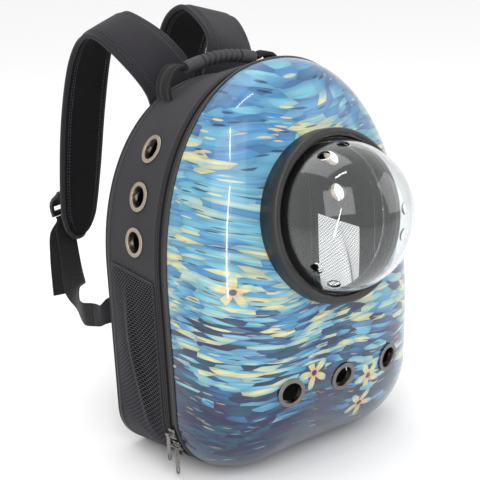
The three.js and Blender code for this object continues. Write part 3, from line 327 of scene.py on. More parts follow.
def side_reach(y, z, offset):
    """Half width of the body beside its side or lower corner, for arrays of depth and height."""
    share = (y - RIM_Y) / BODY_DEPTH
    half_width = (FRONT_WIDTH + (BACK_WIDTH - FRONT_WIDTH) * share) / 2 + offset
    corner = FRONT_CORNER + (BACK_CORNER - FRONT_CORNER) * share
    lean = SIDE_TAPER * np.clip((SPRING_HEIGHT - z) / (SPRING_HEIGHT - corner), 0, 1)
    drop = np.clip((corner - z) / (corner + offset), 0, 1)
    return half_width - lean - (corner + offset) * (1 - np.sqrt(1 - drop**2))


def lengths_along(points):
    """Running length at each point of a path."""
    steps = np.linalg.norm(np.diff(points, axis=0), axis=1)
    return np.r_[0, np.cumsum(steps)]


def unit(vectors):
    """Vectors brought to a length of one."""
    return vectors / np.maximum(np.linalg.norm(vectors, axis=-1, keepdims=True), 1e-12)


def spline(points, shares, chord_power=0.5):
    """Catmull-Rom curve through points at shares from 0 to 1, each span taking an equal share. Its
    tangents weigh the spans by their lengths to chord_power; 0 weighs them all alike."""
    points = np.asarray(points, float)
    ends = np.vstack([2 * points[0] - points[1], points, 2 * points[-1] - points[-2]])
    place = np.asarray(shares) * (len(points) - 1)
    start = np.clip(np.floor(place).astype(int), 0, len(points) - 2)
    along = (place - start)[:, None]
    before, first, second, after = (ends[start + i] for i in range(4))
    span_before, span, span_after = (
        np.maximum(np.linalg.norm(b - a, axis=1, keepdims=True), 1e-6) ** chord_power
        for a, b in ((before, first), (first, second), (second, after)))
    leave = ((first - before) / span_before - (second - before) / (span_before + span)
             + (second - first) / span) * span
    arrive = ((second - first) / span - (after - first) / (span + span_after)
              + (after - second) / span_after) * span
    square, cube = along**2, along**3
    return ((2 * cube - 3 * square + 1) * first + (cube - 2 * square + along) * leave
            + (3 * square - 2 * cube) * second + (cube - square) * arrive)


def make_mesh(name, points, faces, materials, corner_uv=None, sharp=40, slots=None, flip=False):
    """A smooth-shaded object in metres from millimetre points and faces, edges sharper than an
    angle in degrees left crisp. slots holds a material's number for each face."""
    mesh = bpy.data.meshes.new(name)
    face_list = faces.tolist() if isinstance(faces, np.ndarray) else faces
    mesh.from_pydata((np.asarray(points, float) * MM).tolist(), [], face_list)
    if flip:
        mesh.flip_normals()
    if corner_uv is not None:
        layer = mesh.uv_layers.new(name="UVMap")
        layer.data.foreach_set("uv", np.asarray(corner_uv, np.float32).ravel())
    if slots is not None:
        mesh.polygons.foreach_set("material_index", np.asarray(slots, np.int32))
    made = bpy.data.objects.new(name, mesh)
    bpy.context.scene.collection.objects.link(made)
    for material in materials:
        mesh.materials.append(material)
    finish_shading(made, sharp)
    return made


def finish_shading(made, sharp=40):
    """Smooth shading, with edges sharper than an angle in degrees left crisp."""
    mesh = made.data
    mesh.polygons.foreach_set("use_smooth", np.ones(len(mesh.polygons), bool))
    mesh.set_sharp_from_angle(angle=math.radians(sharp))
    mesh.update()


def volume(points, faces):
    """Signed volume inside faces, as the sum of the fans of tetrahedra over them."""
    a = points[faces[:, 0]]
    total = 0.0
    for i in range(1, faces.shape[1] - 1):
        total += np.einsum("ij,ij->i", a, np.cross(points[faces[:, i]], points[faces[:, i + 1]])).sum()
    return total / 6


def outwards(points, faces):
    """Faces turned round where they enclose a negative volume."""
    return faces[:, ::-1] if volume(points, faces) < 0 else faces


def indices(rows, columns):
    """Row and column of each place in a grid, row by row."""
    return tuple(a.ravel() for a in np.meshgrid(np.arange(rows), np.arange(columns), indexing="ij"))


def surface(name, grid, materials, around=False, capped=False, sharp=40, slots=None):
    """Object from a grid of points. Columns are a closed section and rows run along the path:
    around joins the last row to the first, and capped fills both end sections. slots holds a
    material's number by row and column."""
    rows, columns = grid.shape[:2]
    points = grid.reshape(-1, 3)
    r, c = indices(rows if around else rows - 1, columns)
    corners = [(r, c), (r + 1, c), (r + 1, c + 1), (r, c + 1)]
    faces = np.stack([(a % rows) * columns + b % columns for a, b in corners], axis=1)
    uv = grid_uv(grid, around)
    corner_uv = np.stack([uv[a, b] for a, b in corners], axis=1)
    turned = volume(points, faces) < 0
    if turned:
        faces, corner_uv = faces[:, ::-1], corner_uv[:, ::-1]
    if slots is not None:
        slots = slots[r, c]
    if not capped:
        return make_mesh(name, points, faces, materials, corner_uv, sharp, slots)
    first = list(range(columns))
    last = [(rows - 1) * columns + i for i in first]
    ends = [first, last[::-1]] if turned else [first[::-1], last]
    corner_uv = np.vstack([corner_uv.reshape(-1, 2), np.zeros((2 * columns, 2))])
    if slots is not None:
        slots = np.r_[slots, 0, 0]
    return make_mesh(name, points, faces.tolist() + ends, materials, corner_uv, sharp, slots)


def grid_uv(grid, around):
    """Lengths in millimetres along a grid's path and round its closed section, at each point, with
    one row and one column more than the grid."""
    path = np.vstack([grid, grid[:1] if around else grid[-1:]])
    full = np.concatenate([path, path[:, :1]], axis=1)
    along = lengths_along(full.mean(axis=1))
    across = lengths_along(full[full.shape[0] // 2])
    return np.stack(np.meshgrid(along, across, indexing="ij"), axis=-1)


def apply_modifiers(made):
    """Puts what an object's modifiers give in place of its mesh."""
    depsgraph = bpy.context.evaluated_depsgraph_get()
    mesh = bpy.data.meshes.new_from_object(made.evaluated_get(depsgraph))
    made.modifiers.clear()
    made.data = mesh


def carve(made, cutters, sharp=40):
    """Cuts other objects out of this one, then removes them."""
    for cutter in cutters:
        modifier = made.modifiers.new("cut", "BOOLEAN")
        modifier.operation = "DIFFERENCE"
        modifier.solver = "EXACT"
        modifier.object = cutter
    apply_modifiers(made)
    for cutter in cutters:
        bpy.data.objects.remove(cutter)
    finish_shading(made, sharp)


def dress(made, node, body="root"):
    """The piece stands for a CAD node, whose parts it hides, and rides on its body."""
    nodes = [node] if isinstance(node, str) else node
    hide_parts(*nodes)
    return fit(made, body)


def fit(made, body="root"):
    """The piece rides on a body."""
    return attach(made, body)


# Node graphs


class Graph:
    """A material's node tree: a Principled surface and short calls for the nodes before it."""

    def __init__(self, name, **surface_values):
        self.material = bpy.data.materials.new(name)
        self.material.use_nodes = True
        self.tree = self.material.node_tree
        self.tree.nodes.clear()
        self.surface = self.add("ShaderNodeBsdfPrincipled")
        self.output = self.add("ShaderNodeOutputMaterial", Surface=self.surface.outputs[0])
        self.set(**surface_values)

    def add(self, kind, *, settings=None, **inputs):
        made = self.tree.nodes.new(kind)
        for name, value in (settings or {}).items():
            setattr(made, name, value)
        for name, value in inputs.items():
            self.put(made, name.replace("_", " "), value)
        return made

    def put(self, made, name, value):
        socket = made.inputs[name]
        if isinstance(value, bpy.types.NodeSocket):
            self.tree.links.new(value, socket)
        else:
            socket.default_value = value

    def set(self, **inputs):
        for name, value in inputs.items():
            if name.endswith("Color") and not isinstance(value, bpy.types.NodeSocket):
                value = (*value, 1)
            self.put(self.surface, name.replace("_", " "), value)

    def coordinates(self, kind="Object"):
        return self.add("ShaderNodeTexCoord").outputs[kind]

    def mapped(self, vector, scale, rotation):
        return self.add("ShaderNodeMapping", Vector=vector, Scale=scale, Rotation=rotation).outputs[0]

    def noise(self, vector, scale, detail=2.0, output="Fac"):
        made = self.add("ShaderNodeTexNoise", Vector=vector, Scale=scale, Detail=detail)
        return made.outputs[output]

    def voronoi(self, vector, scale, settings=None, randomness=1.0):
        return self.add("ShaderNodeTexVoronoi", settings=settings, Vector=vector, Scale=scale,
                        Randomness=randomness)

    def math(self, operation, *values):
        made = self.add("ShaderNodeMath", settings={"operation": operation})
        for i, value in enumerate(values):
            self.put(made, i, value)
        return made.outputs[0]

    def vector_math(self, operation, first, second):
        made = self.add("ShaderNodeVectorMath", settings={"operation": operation})
        self.put(made, 0, first)
        self.put(made, 1, second)
        return made.outputs[0]

    def split(self, vector):
        return self.add("ShaderNodeSeparateXYZ", Vector=vector).outputs

    def ranged(self, value, low, high, to_low=0.0, to_high=1.0):
        """A value moved from one range to another, and held to it."""
        return self.add("ShaderNodeMapRange", Value=value, From_Min=low, From_Max=high,
                        To_Min=to_low, To_Max=to_high).outputs[0]

    def ramp(self, factor, stops):
        """Colour at a factor between stops of (place, colour)."""
        made = self.add("ShaderNodeValToRGB", Fac=factor)
        elements = made.color_ramp.elements
        while len(elements) < len(stops):
            elements.new(0.5)
        for element, (place, value) in zip(elements, stops):
            element.position = place
            element.color = (*value, 1)
        return made.outputs["Color"]

    def blend(self, factor, first, second, kind="MIX"):
        made = self.add("ShaderNodeMix", settings={"data_type": "RGBA", "blend_type": kind})
        self.put(made, 0, factor)
        for i, value in ((6, first), (7, second)):
            self.put(made, i, value if isinstance(value, bpy.types.NodeSocket) else (*value, 1))
        return made.outputs[2]

    def bump(self, height, distance, strength=1.0):
        made = self.add("ShaderNodeBump", Height=height, Strength=strength, Distance=distance)
        self.put(self.surface, "Normal", made.outputs[0])


def shade(value, factor):
    """A colour made darker or lighter."""
    return [c * factor for c in value]


# Materials

BLOSSOM_SPREAD = 0.082
STROKE_SLANT = math.radians(24)
FINE_STROKE_SLANT = math.radians(28)
WEBBING_RIB, WEBBING_YARN = 2.0, 1.1
LIBRARY = {}


def painted_shell(paint):
    """Printed gloss plastic: dabs of colour along slanting waves, darker towards the base, with a
    few five-petalled blossoms."""
    g = Graph("painted_shell", Roughness=0.22, Coat_Weight=0.6, Coat_Roughness=0.03, Specular_IOR_Level=0.35)
    place = g.coordinates()
    drift = g.vector_math("SUBTRACT", g.noise(place, 5.0, 1.0, "Color"), (0.5, 0.5, 0.5))
    drifted = g.vector_math("ADD", place, g.vector_math("MULTIPLY", drift, (0.14, 0.1, 0.12)))
    across = 1 / paint.stroke
    strokes = g.mapped(drifted, (across, across, across * 4.6), (0, STROKE_SLANT, 0))
    dabs = g.voronoi(strokes, 1.0, randomness=0.9)
    pick = g.split(dabs.outputs["Color"])[0]
    bristles = g.noise(g.mapped(drifted, (18, 18, 700), (0, STROKE_SLANT, 0)), 1.0, 3.0)
    height = g.ranged(g.split(place)[2], 0.0, 0.42)
    sway = g.math("MULTIPLY_ADD", g.noise(drifted, 7.0, 1.0), 0.5, -0.25)
    level = g.math("ADD", height, sway)
    level = g.math("ADD", level, g.math("MULTIPLY_ADD", pick, 0.34, -0.17))
    level = g.math("ADD", level, g.math("MULTIPLY_ADD", bristles, 0.08, -0.04))
    colours = g.ramp(level, [
        (0.03, paint.navy), (0.11, paint.plum), (0.18, shade(paint.teal, 0.8)), (0.25, paint.navy),
        (0.32, shade(paint.sky, 0.8)), (0.38, paint.aqua), (0.43, paint.cream), (0.48, paint.aqua),
        (0.54, paint.sky), (0.61, paint.aqua), (0.66, paint.cream), (0.70, paint.aqua),
        (0.77, paint.sky), (0.85, paint.aqua), (0.92, paint.sky), (0.98, shade(paint.sky, 0.7)),
    ])
    edge = g.ranged(dabs.outputs["Distance"], 0.3, 0.8)
    colours = g.blend(g.math("MULTIPLY", edge, 0.35), colours, shade(paint.navy, 1.6))
    thin = g.mapped(drifted, (across * 1.3, across * 1.3, across * 11), (0, FINE_STROKE_SLANT, 0))
    fine = g.voronoi(thin, 1.0)
    touch = g.split(fine.outputs["Color"])
    core = g.math("SUBTRACT", 1.0, g.ranged(fine.outputs["Distance"], 0.3, 0.42))
    dark = g.math("MULTIPLY", g.math("LESS_THAN", touch[0], 0.2), core)
    light = g.math("MULTIPLY", g.math("GREATER_THAN", touch[0], 0.86), core)
    colours = g.blend(g.math("MULTIPLY", dark, 0.8), colours, paint.navy)
    lit = g.math("MULTIPLY", light, g.ranged(level, 0.1, 0.5, 0.25, 0.85))
    light_paint = g.ramp(touch[1], [(0.0, paint.aqua), (0.45, paint.cream), (1.0, paint.peach)])
    colours = g.blend(lit, colours, light_paint)
    colours = blossoms(g, paint, place, colours)
    streak = g.ranged(bristles, 0.3, 0.75, 0.84, 1.12)
    grey = g.add("ShaderNodeCombineColor", Red=streak, Green=streak, Blue=streak).outputs[0]
    g.set(Base_Color=g.blend(1.0, colours, grey, "MULTIPLY"))
    return g.material


def blossoms(g, paint, place, colours):
    """Five petals round some cells' middles. A place is inside where its radius is less than
    blossom * (0.62 + 0.38 cos 5 turn)."""
    flat = g.vector_math("MULTIPLY", place, (1, 0, 1))
    cells = g.voronoi(flat, 1 / BLOSSOM_SPREAD, randomness=0.75)
    centre = g.vector_math("SUBTRACT", flat, cells.outputs["Position"])
    x, _, z = g.split(centre)
    radius = g.math("SQRT", g.math("ADD", g.math("POWER", x, 2.0), g.math("POWER", z, 2.0)))
    turn = g.math("ARCTAN2", z, x)
    pick = g.split(cells.outputs["Color"])
    turned = g.math("ADD", g.math("MULTIPLY", turn, 5.0), g.math("MULTIPLY", pick[1], 6.28))
    reach = g.math("MULTIPLY_ADD", g.math("COSINE", turned), 0.38 * paint.blossom, 0.62 * paint.blossom)
    inside = g.ranged(g.math("SUBTRACT", reach, radius), -0.0006, 0.0006)
    chosen = g.math("MULTIPLY", inside, g.math("GREATER_THAN", pick[0], 0.5))
    petal = g.ramp(g.ranged(radius, 0.0, paint.blossom), [
        (0.14, paint.navy), (0.2, paint.peach), (0.6, paint.cream), (1.0, paint.aqua)])
    return g.blend(g.math("MULTIPLY", chosen, 0.85), colours, petal)


def moulded(name, value, roughness):
    """Satin moulded plastic with a faint orange-peel grain."""
    g = Graph(name, Roughness=roughness, Specular_IOR_Level=0.5)
    place = g.coordinates()
    g.set(Base_Color=g.blend(g.noise(place, 60.0, 3.0), shade(value, 0.85), shade(value, 1.15)))
    g.bump(g.noise(place, 900.0, 2.0), 0.00008)
    return g.material


def acrylic():
    """Clear acrylic that lets light through to what it covers."""
    g = Graph("acrylic", Base_Color=(0.93, 0.96, 0.97), Roughness=0.0, IOR=1.49, Transmission_Weight=1.0,
              Coat_Weight=0.3, Coat_Roughness=0.02)
    clear = g.add("ShaderNodeBsdfTransparent", Color=(0.93, 0.95, 0.96, 1))
    path = g.add("ShaderNodeLightPath")
    mixed = g.add("ShaderNodeMixShader", Fac=path.outputs["Is Shadow Ray"])
    g.tree.links.new(g.surface.outputs[0], mixed.inputs[1])
    g.tree.links.new(clear.outputs[0], mixed.inputs[2])
    g.tree.links.new(mixed.outputs[0], g.output.inputs[0])
    return g.material


def satin_metal(name, value, roughness):
    """Plated metal, a little worn and cloudy."""
    g = Graph(name, Metallic=1.0)
    place = g.coordinates()
    cloud = g.noise(place, 180.0, 4.0)
    g.set(Base_Color=g.blend(cloud, shade(value, 0.82), value),
          Roughness=g.ranged(cloud, 0.3, 0.7, roughness * 0.8, roughness * 1.4))
    g.bump(g.noise(place, 1500.0, 2.0), 0.00004)
    return g.material


def woven(name, value, yarn):
    """Plain weave on the piece's own lengths: over and under yarns as the product of two waves. Its colour is
    painted darker where the weave dips, as painted shade between the yarns, and also varies with random wear
    and fibre noise.
    """
    g = Graph(name, Roughness=0.86, Specular_IOR_Level=0.25, Sheen_Weight=0.1, Sheen_Roughness=0.5)
    along, across, _ = g.split(g.coordinates("UV"))
    turn = math.pi / (yarn * METRE)
    weave = g.math("MULTIPLY", g.math("SINE", g.math("MULTIPLY", along, turn)),
                   g.math("SINE", g.math("MULTIPLY", across, turn)))
    height = g.math("MULTIPLY_ADD", weave, 0.5, 0.5)
    place = g.coordinates()
    wear = g.noise(place, 22.0, 4.0)
    fibre = g.noise(place, 2600.0, 2.0)
    # painted shade: the low places of the weave are coloured darker, with random wear and fibre noise on top
    yarn_shade_and_noise = g.math("ADD", g.math("MULTIPLY", height, 0.5),
                  g.math("ADD", g.math("MULTIPLY", wear, 0.25), g.math("MULTIPLY", fibre, 0.35)))
    g.set(Base_Color=g.blend(g.ranged(yarn_shade_and_noise, 0.2, 0.9), shade(value, 0.75), shade(value, 1.3)))
    g.bump(g.math("ADD", height, g.math("MULTIPLY", fibre, 0.5)), 0.00035, 0.8)
    return g.material


def ribbed_webbing(name, value):
    """Webbing on its own lengths: ribs across it, broken into yarns by a finer wave along. Its colour is
    painted darker in the dips between ribs and yarns, as painted shade, with random fibre noise.
    """
    g = Graph(name, Roughness=0.7, Specular_IOR_Level=0.3, Sheen_Weight=0.06)
    along, across, _ = g.split(g.coordinates("UV"))
    ribs = g.math("ABSOLUTE", g.math("SINE", g.math("MULTIPLY", along, math.pi / WEBBING_RIB)))
    yarns = g.math("ABSOLUTE", g.math("SINE", g.math("MULTIPLY", across, math.pi / WEBBING_YARN)))
    height = g.math("MULTIPLY", ribs, g.math("MULTIPLY_ADD", yarns, 0.5, 0.5))
    fibre = g.noise(g.coordinates(), 2200.0, 2.0)
    # painted shade: the dips between ribs and yarns are coloured darker, with random fibre noise on top
    yarn_shade_and_noise = g.math("ADD", g.math("MULTIPLY", height, 0.7), g.math("MULTIPLY", fibre, 0.3))
    g.set(Base_Color=g.blend(yarn_shade_and_noise, shade(value, 0.5), shade(value, 1.5)))
    g.bump(height, 0.0004, 0.8)
    return g.material


def vinyl_cord():
    """Smooth black vinyl over the corded edges."""
    g = Graph("vinyl_cord", Roughness=0.32, Specular_IOR_Level=0.5)
    place = g.coordinates()
    g.set(Base_Color=g.blend(g.noise(place, 90.0, 3.0), (0.008, 0.008, 0.009), (0.02, 0.019, 0.021)))
    g.bump(g.noise(place, 1300.0, 2.0), 0.00006)
    return g.material


def shaded_spacer_net(value):
    """Padded spacer cloth: small round holes in staggered rows. Its colour is the side cloth painted darker,
    as painted shade on the straps' under faces, and darkest in the holes, as painted shade inside them.
    """
    g = Graph("shaded_spacer_net", Roughness=0.9, Specular_IOR_Level=0.2)
    holes = g.voronoi(g.coordinates("UV"), 0.55, settings={"voronoi_dimensions": "2D"}, randomness=0.0)
    # painted shade: dark in the holes, and the whole cloth darkened for the shaded under faces of the straps
    depth = g.ranged(holes.outputs["Distance"], 0.15, 0.5)
    g.set(Base_Color=g.blend(depth, shade(value, 0.08), shade(value, 0.45)))
    g.bump(depth, 0.0006, 0.9)
    return g.material


def thread_material(name, value):
    """Spun thread, a little fuzzy."""
    g = Graph(name, Roughness=0.75, Specular_IOR_Level=0.3, Sheen_Weight=0.2)
    g.set(Base_Color=g.blend(g.noise(g.coordinates(), 1800.0, 2.0), shade(value, 0.7), shade(value, 1.25)))
    return g.material


def rubber(value):
    """Matt rubber with a fine grain."""
    g = Graph("grip_rubber", Roughness=0.6, Specular_IOR_Level=0.4)
    place = g.coordinates()
    grain = g.noise(place, 1400.0, 3.0)
    g.set(Base_Color=g.blend(g.noise(place, 70.0, 3.0), shade(value, 0.82), shade(value, 1.12)))
    g.bump(grain, 0.00012)
    return g.material


def library():
    """Every material by name, made once."""
    scene = bpy.context.scene
    paint, cloth, trim = scene.carrier_paint, scene.carrier_cloth, scene.carrier_trim
    if not LIBRARY:
        LIBRARY.update({
            "shell": painted_shell(paint),
            # painted shade: the inside of the front is coloured near black for the shade inside the carrier
            "inside": moulded("shaded_shell_inside", linear(20, 20, 22), 0.6),
            "ring": moulded("ring_plastic", trim.ring, 0.38),
            "dome": acrylic(),
            "side_metal": satin_metal("side_eyelet_metal", trim.side_metal, 0.3),
            "front_metal": satin_metal("front_eyelet_metal", trim.front_metal, 0.3),
            "slider": satin_metal("slider_metal", trim.slider_metal, 0.26),
            "cord": vinyl_cord(),
            "cloth": woven("side_cloth", cloth.cloth, cloth.weave),
            # painted shade: the inner faces of the sides and back are the side cloth at about a third of its
            # brightness, for the shade inside the carrier
            "shaded_lining": woven("shaded_inner_cloth", shade(cloth.cloth, 0.35), cloth.weave),
            "tape": woven("zip_tape", cloth.tape, 0.0007),
            "webbing": ribbed_webbing("webbing", cloth.tape),
            "spacer": shaded_spacer_net(cloth.cloth),
            "net": thread_material("net_thread", cloth.net),
            "stitch": thread_material("stitch_thread", cloth.thread),
            "teeth": moulded("zip_teeth", linear(30, 29, 31), 0.4),
            "grip": rubber(trim.grip),
            "buckle": moulded("buckle_plastic", linear(28, 27, 29), 0.4),
        })
    return LIBRARY


# Hard front


def bulge_power(dx, dz):
    """Power of the bulge's curve: BULGE_SIDE beside the middle, its top value above and its bottom
    value below."""
    rise = dz / np.maximum(np.hypot(dx, dz), 1e-9)
    end = np.where(rise < 0, BULGE_BOTTOM, BULGE_TOP)
    weight = np.abs(rise) ** BULGE_BLEND
    return BULGE_SIDE + (end - BULGE_SIDE) * weight


def bulge_depth(share, power, depth):
    """Depth of the bulge: depth * (1 - share^power)^(1/power), share running from middle to rim."""
    return depth * (1 - np.clip(share, 0, 1) ** power) ** (1 / power)


def shell_grid(inset, depth, shares):
    """Rows of the dish at shares of the way from its middle to the rim."""
    rim = body_ring(RIM_Y, -SHELL_INSET - inset)
    dx, dz = rim[:, 0], rim[:, 2] - SHELL_CENTRE_HEIGHT
    power = bulge_power(dx, dz)
    share = shares[:, None]
    x = share * dx
    z = SHELL_CENTRE_HEIGHT + share * dz
    y = RIM_Y - bulge_depth(share, power, depth)
    return np.stack([x, y, z], axis=-1)


def shell_forward(x, z):
    """How far forward of the rim the dish's outer face lies, for arrays of places: the share is the
    distance from the middle over the rim's distance in the same direction."""
    rim = body_ring(RIM_Y, -SHELL_INSET)
    turns = np.arctan2(rim[:, 2] - SHELL_CENTRE_HEIGHT, rim[:, 0])
    order = np.argsort(turns)
    reach = np.hypot(rim[:, 0], rim[:, 2] - SHELL_CENTRE_HEIGHT)
    dz = z - SHELL_CENTRE_HEIGHT
    limit = np.interp(np.arctan2(dz, x), turns[order], reach[order], period=2 * np.pi)
    return bulge_depth(np.hypot(x, dz) / limit, bulge_power(x, dz), SHELL_DEPTH)


def round_frame(centre, axis, across):
    """Function giving a point at a radius, turn and height about an axis."""
    up = unit(np.asarray(axis, float))
    side = unit(np.asarray(across, float) - np.dot(across, up) * up)
    other = np.cross(up, side)

    def place(radius, turn, height):
        radius, turn, height = np.broadcast_arrays(radius, turn, height)
        return (np.asarray(centre) + side * (radius * np.cos(turn))[..., None]
                + other * (radius * np.sin(turn))[..., None] + up * height[..., None])

    return place


RING_AXIS = np.array([0, -math.cos(RING_TILT), math.sin(RING_TILT)])
ring_place = round_frame(RING_CENTRE, RING_AXIS, (1, 0, 0))


def ring_seat(radius, turns):
    """How far behind the ring's plane the dish lies at each turn, by halving."""
    near, far = np.full(len(turns), -10.0), np.full(len(turns), 60.0)
    for _ in range(30):
        middle = (near + far) / 2
        p = ring_place(radius, turns, -middle)
        outside = RIM_Y - p[:, 1] > shell_forward(p[:, 0], p[:, 2])
        near, far = np.where(outside, middle, near), np.where(outside, far, middle)
    return far


def rod(name, place, radius, low, high, steps=48):
    """A closed round rod, used to cut holes."""
    turns = np.linspace(0, 2 * np.pi, steps, endpoint=False)
    grid = np.stack([place(radius, turns, low), place(radius, turns, high)])
    return surface(name, grid, [], capped=True)


def eyelet_frame(node):
    """Place function of a CAD eyelet: its middle and thinnest direction, raised to its seat."""
    points = np.array([v.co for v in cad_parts[node].data.vertices], float) * METRE
    middle = points.mean(axis=0)
    axis = np.linalg.svd(points - middle)[2][2]
    outwards = middle - np.array([0, 0, middle[2]])
    axis *= np.sign(axis @ outwards)
    seat = ((points - middle) @ axis).max() - EYELET_RISE
    return round_frame(middle + axis * seat, axis, (0, 0, 1))


EYELETS = [f"eyelet_{place}_{i}" for place in ("front", "left", "right") for i in (1, 2, 3)]


def build_shell():
    """Outer and inner dish as one closed wall, cut for the bubble and the front eyelets."""
    m = library()
    shares = np.sin(np.linspace(0, np.pi / 2, 72))
    outer = shell_grid(0, SHELL_DEPTH, shares[1:])
    inner = shell_grid(SHELL_WALL, SHELL_DEPTH - SHELL_WALL, shares[1:])
    grid = np.vstack([outer, inner[::-1]])
    slots = np.repeat([0, 1], [len(outer), len(inner) - 1])[:, None] * np.ones(grid.shape[1], int)
    made = dish(grid, [m["shell"], m["inside"]], "painted_front", slots)
    cutters = [rod("cut", ring_place, RING_INNER + RING_SLEEVE + GAP, -70, 60, 160)]
    cutters += [rod("cut", eyelet_frame(node), EYELET_TUBE + GAP, -12, 12) for node in EYELETS[:3]]
    carve(made, cutters, 30)
    dress(made, "front_shell")


def dish(grid, materials, name, slots):
    """A grid whose first and last rows close to their middles with a fan of triangles."""
    rows, columns = grid.shape[:2]
    points = np.vstack([grid.reshape(-1, 3), grid[0].mean(axis=0), grid[-1].mean(axis=0)])
    r, c = indices(rows - 1, columns)
    n = (c + 1) % columns
    quads = np.stack([r * columns + c, (r + 1) * columns + c, (r + 1) * columns + n, r * columns + n], axis=1)
    ring = np.arange(columns)
    after = (ring + 1) % columns
    first_row, last_row = 0, (rows - 1) * columns
    first_middle, last_middle = np.full(columns, rows * columns), np.full(columns, rows * columns + 1)
    start = np.stack([first_middle, first_row + ring, first_row + after], axis=1)
    finish = np.stack([last_middle, last_row + after, last_row + ring], axis=1)
    fan_slots = [np.full(columns, slots[0, 0]), np.full(columns, slots[-1, 0])]
    return make_mesh(name, points, quads.tolist() + start.tolist() + finish.tolist(), materials, sharp=30,
                     slots=np.r_[(slots[r, c], *fan_slots)], flip=volume(points, quads) < 0)


def arc(centre, radius, start, end, count):
    """Points on an arc between two turns in degrees."""
    turns = np.radians(np.linspace(start, end, count))
    return np.c_[centre[0] + radius * np.cos(turns), centre[1] + radius * np.sin(turns)]


def build_bubble():
    """Moulded collar seated on the dish, and the clear dome with its vent holes."""
    m = library()
    turns = np.linspace(0, 2 * np.pi, 192, endpoint=False)
    crown = 3.6
    rounded = np.vstack([
        arc((RING_OUTER - crown, RING_LIP - crown), crown, 0, 120, 12),
        arc((RING_INNER + 3.0, RING_LIP - 2.4), 1.2, 60, 180, 6),
        [[RING_INNER + 1.8, -1.0], [RING_INNER + 1.2, -1.6], [RING_INNER + 0.9, -0.9]],
        arc((RING_INNER + 0.45, -0.5), 0.45, 0, 180, 5),
        [[RING_INNER, -RING_LIP]],
    ])
    sleeve = RING_INNER + RING_SLEEVE
    seat_outer = np.maximum(ring_seat(RING_OUTER, turns) - GAP, RING_SHOULDER)
    seat_sleeve = np.maximum(ring_seat(sleeve, turns) - 2 * GAP, RING_SHOULDER)
    sleeve_end = ring_seat(RING_INNER, turns) + SHELL_WALL + SLEEVE_REACH
    ones = np.ones(len(turns))
    low = [(RING_INNER, -sleeve_end), (sleeve, -sleeve_end), (sleeve, -seat_sleeve),
           (RING_OUTER - 0.8, -seat_outer), (RING_OUTER, -seat_outer + 0.8)]
    radii = np.stack([p[0] * ones for p in [*low, *rounded]], axis=1)
    heights = np.stack([p[1] * ones for p in [*low, *rounded]], axis=1)
    grid = ring_place(radii, turns[:, None], heights)
    dress(surface("bubble_collar", grid, [m["ring"]], around=True, sharp=50), "bubble_ring")

    rise = np.linspace(0, np.pi / 2, 40)[:-1]
    columns = np.linspace(0, 2 * np.pi, 128, endpoint=False)

    def wall(radius):
        r = np.r_[radius, radius, radius * np.cos(rise)]
        h = np.r_[-DOME_SKIRT, -DOME_SKIRT / 2, radius * np.sin(rise)] - DOME_CENTRE_BACK
        return ring_place(r[:, None], columns, h[:, None])

    grid = np.vstack([wall(DOME_RADIUS)[::-1], wall(DOME_RADIUS - DOME_WALL)])
    made = dish(grid, [m["dome"]], "clear_dome", np.zeros(grid.shape[:2], int))
    reach = math.sqrt(DOME_RADIUS**2 - (VENT_RISE + DOME_CENTRE_BACK) ** 2)
    middle = ring_place(0, 0, -DOME_CENTRE_BACK)
    cutters = []
    for turn in np.radians(VENT_TURNS):
        centre = ring_place(reach, turn, VENT_RISE)
        cutters.append(rod("cut", round_frame(centre, centre - middle, (0, 0, 1)), VENT_RADIUS, -8, 8, 40))
    carve(made, cutters, 30)
    dress(made, "bubble_dome")


# Round metal and cords


def build_eyelets():
    """Pressed eyelets: a profile of radii and heights turned about each seat's axis."""
    m = library()
    turns = np.linspace(0, 2 * np.pi, 72, endpoint=False)
    for node in EYELETS:
        wall = SHELL_WALL if "front" in node else FABRIC_WALL
        inside = -wall - EYELET_TURNED_IN
        profile = np.vstack([
            [[EYELET_HOLE + 0.2, inside - 0.7], [EYELET_HOLE + 0.8, inside - 1.0],
             [EYELET_TUBE + 1.8, inside - 1.0], [EYELET_TUBE + 2.2, inside - 0.5],
             [EYELET_TUBE + 1.8, inside], [EYELET_TUBE, inside], [EYELET_TUBE, GAP],
             [EYELET_OUTER - 0.2, GAP]],
            arc((EYELET_OUTER - EYELET_LIP, 0.9), EYELET_LIP, -20, 90, 6),
            [[13.6, 1.75], [12.9, 1.5], [12.4, 1.62]],
            arc((11.75, 1.3), 0.7, 60, 180, 6),
            [[EYELET_HOLE, 0.6], [EYELET_HOLE, inside]],
        ])
        grid = eyelet_frame(node)(profile[:, 0], turns[:, None], profile[:, 1])
        metal = m["front_metal"] if "front" in node else m["side_metal"]
        dress(surface(f"ring_{node}", grid, [metal], around=True, sharp=60), node)


def build_piping():
    """Corded edges: a circle of depth and offset carried all round the body."""
    m = library()
    turn = np.linspace(0, 2 * np.pi, 14, endpoint=False)
    for node, y in (("rim_piping", RIM_Y + GAP + PIPING_RADIUS),
                    ("back_piping", BACK_Y - GAP - PIPING_RADIUS)):
        profile = np.c_[y + PIPING_RADIUS * np.cos(turn), PIPING_PROUD - PIPING_RADIUS * (1 - np.sin(turn))]
        dress(surface(f"cord_{node}", body_loop(profile), [m["cord"]], around=True), node)


# Zip


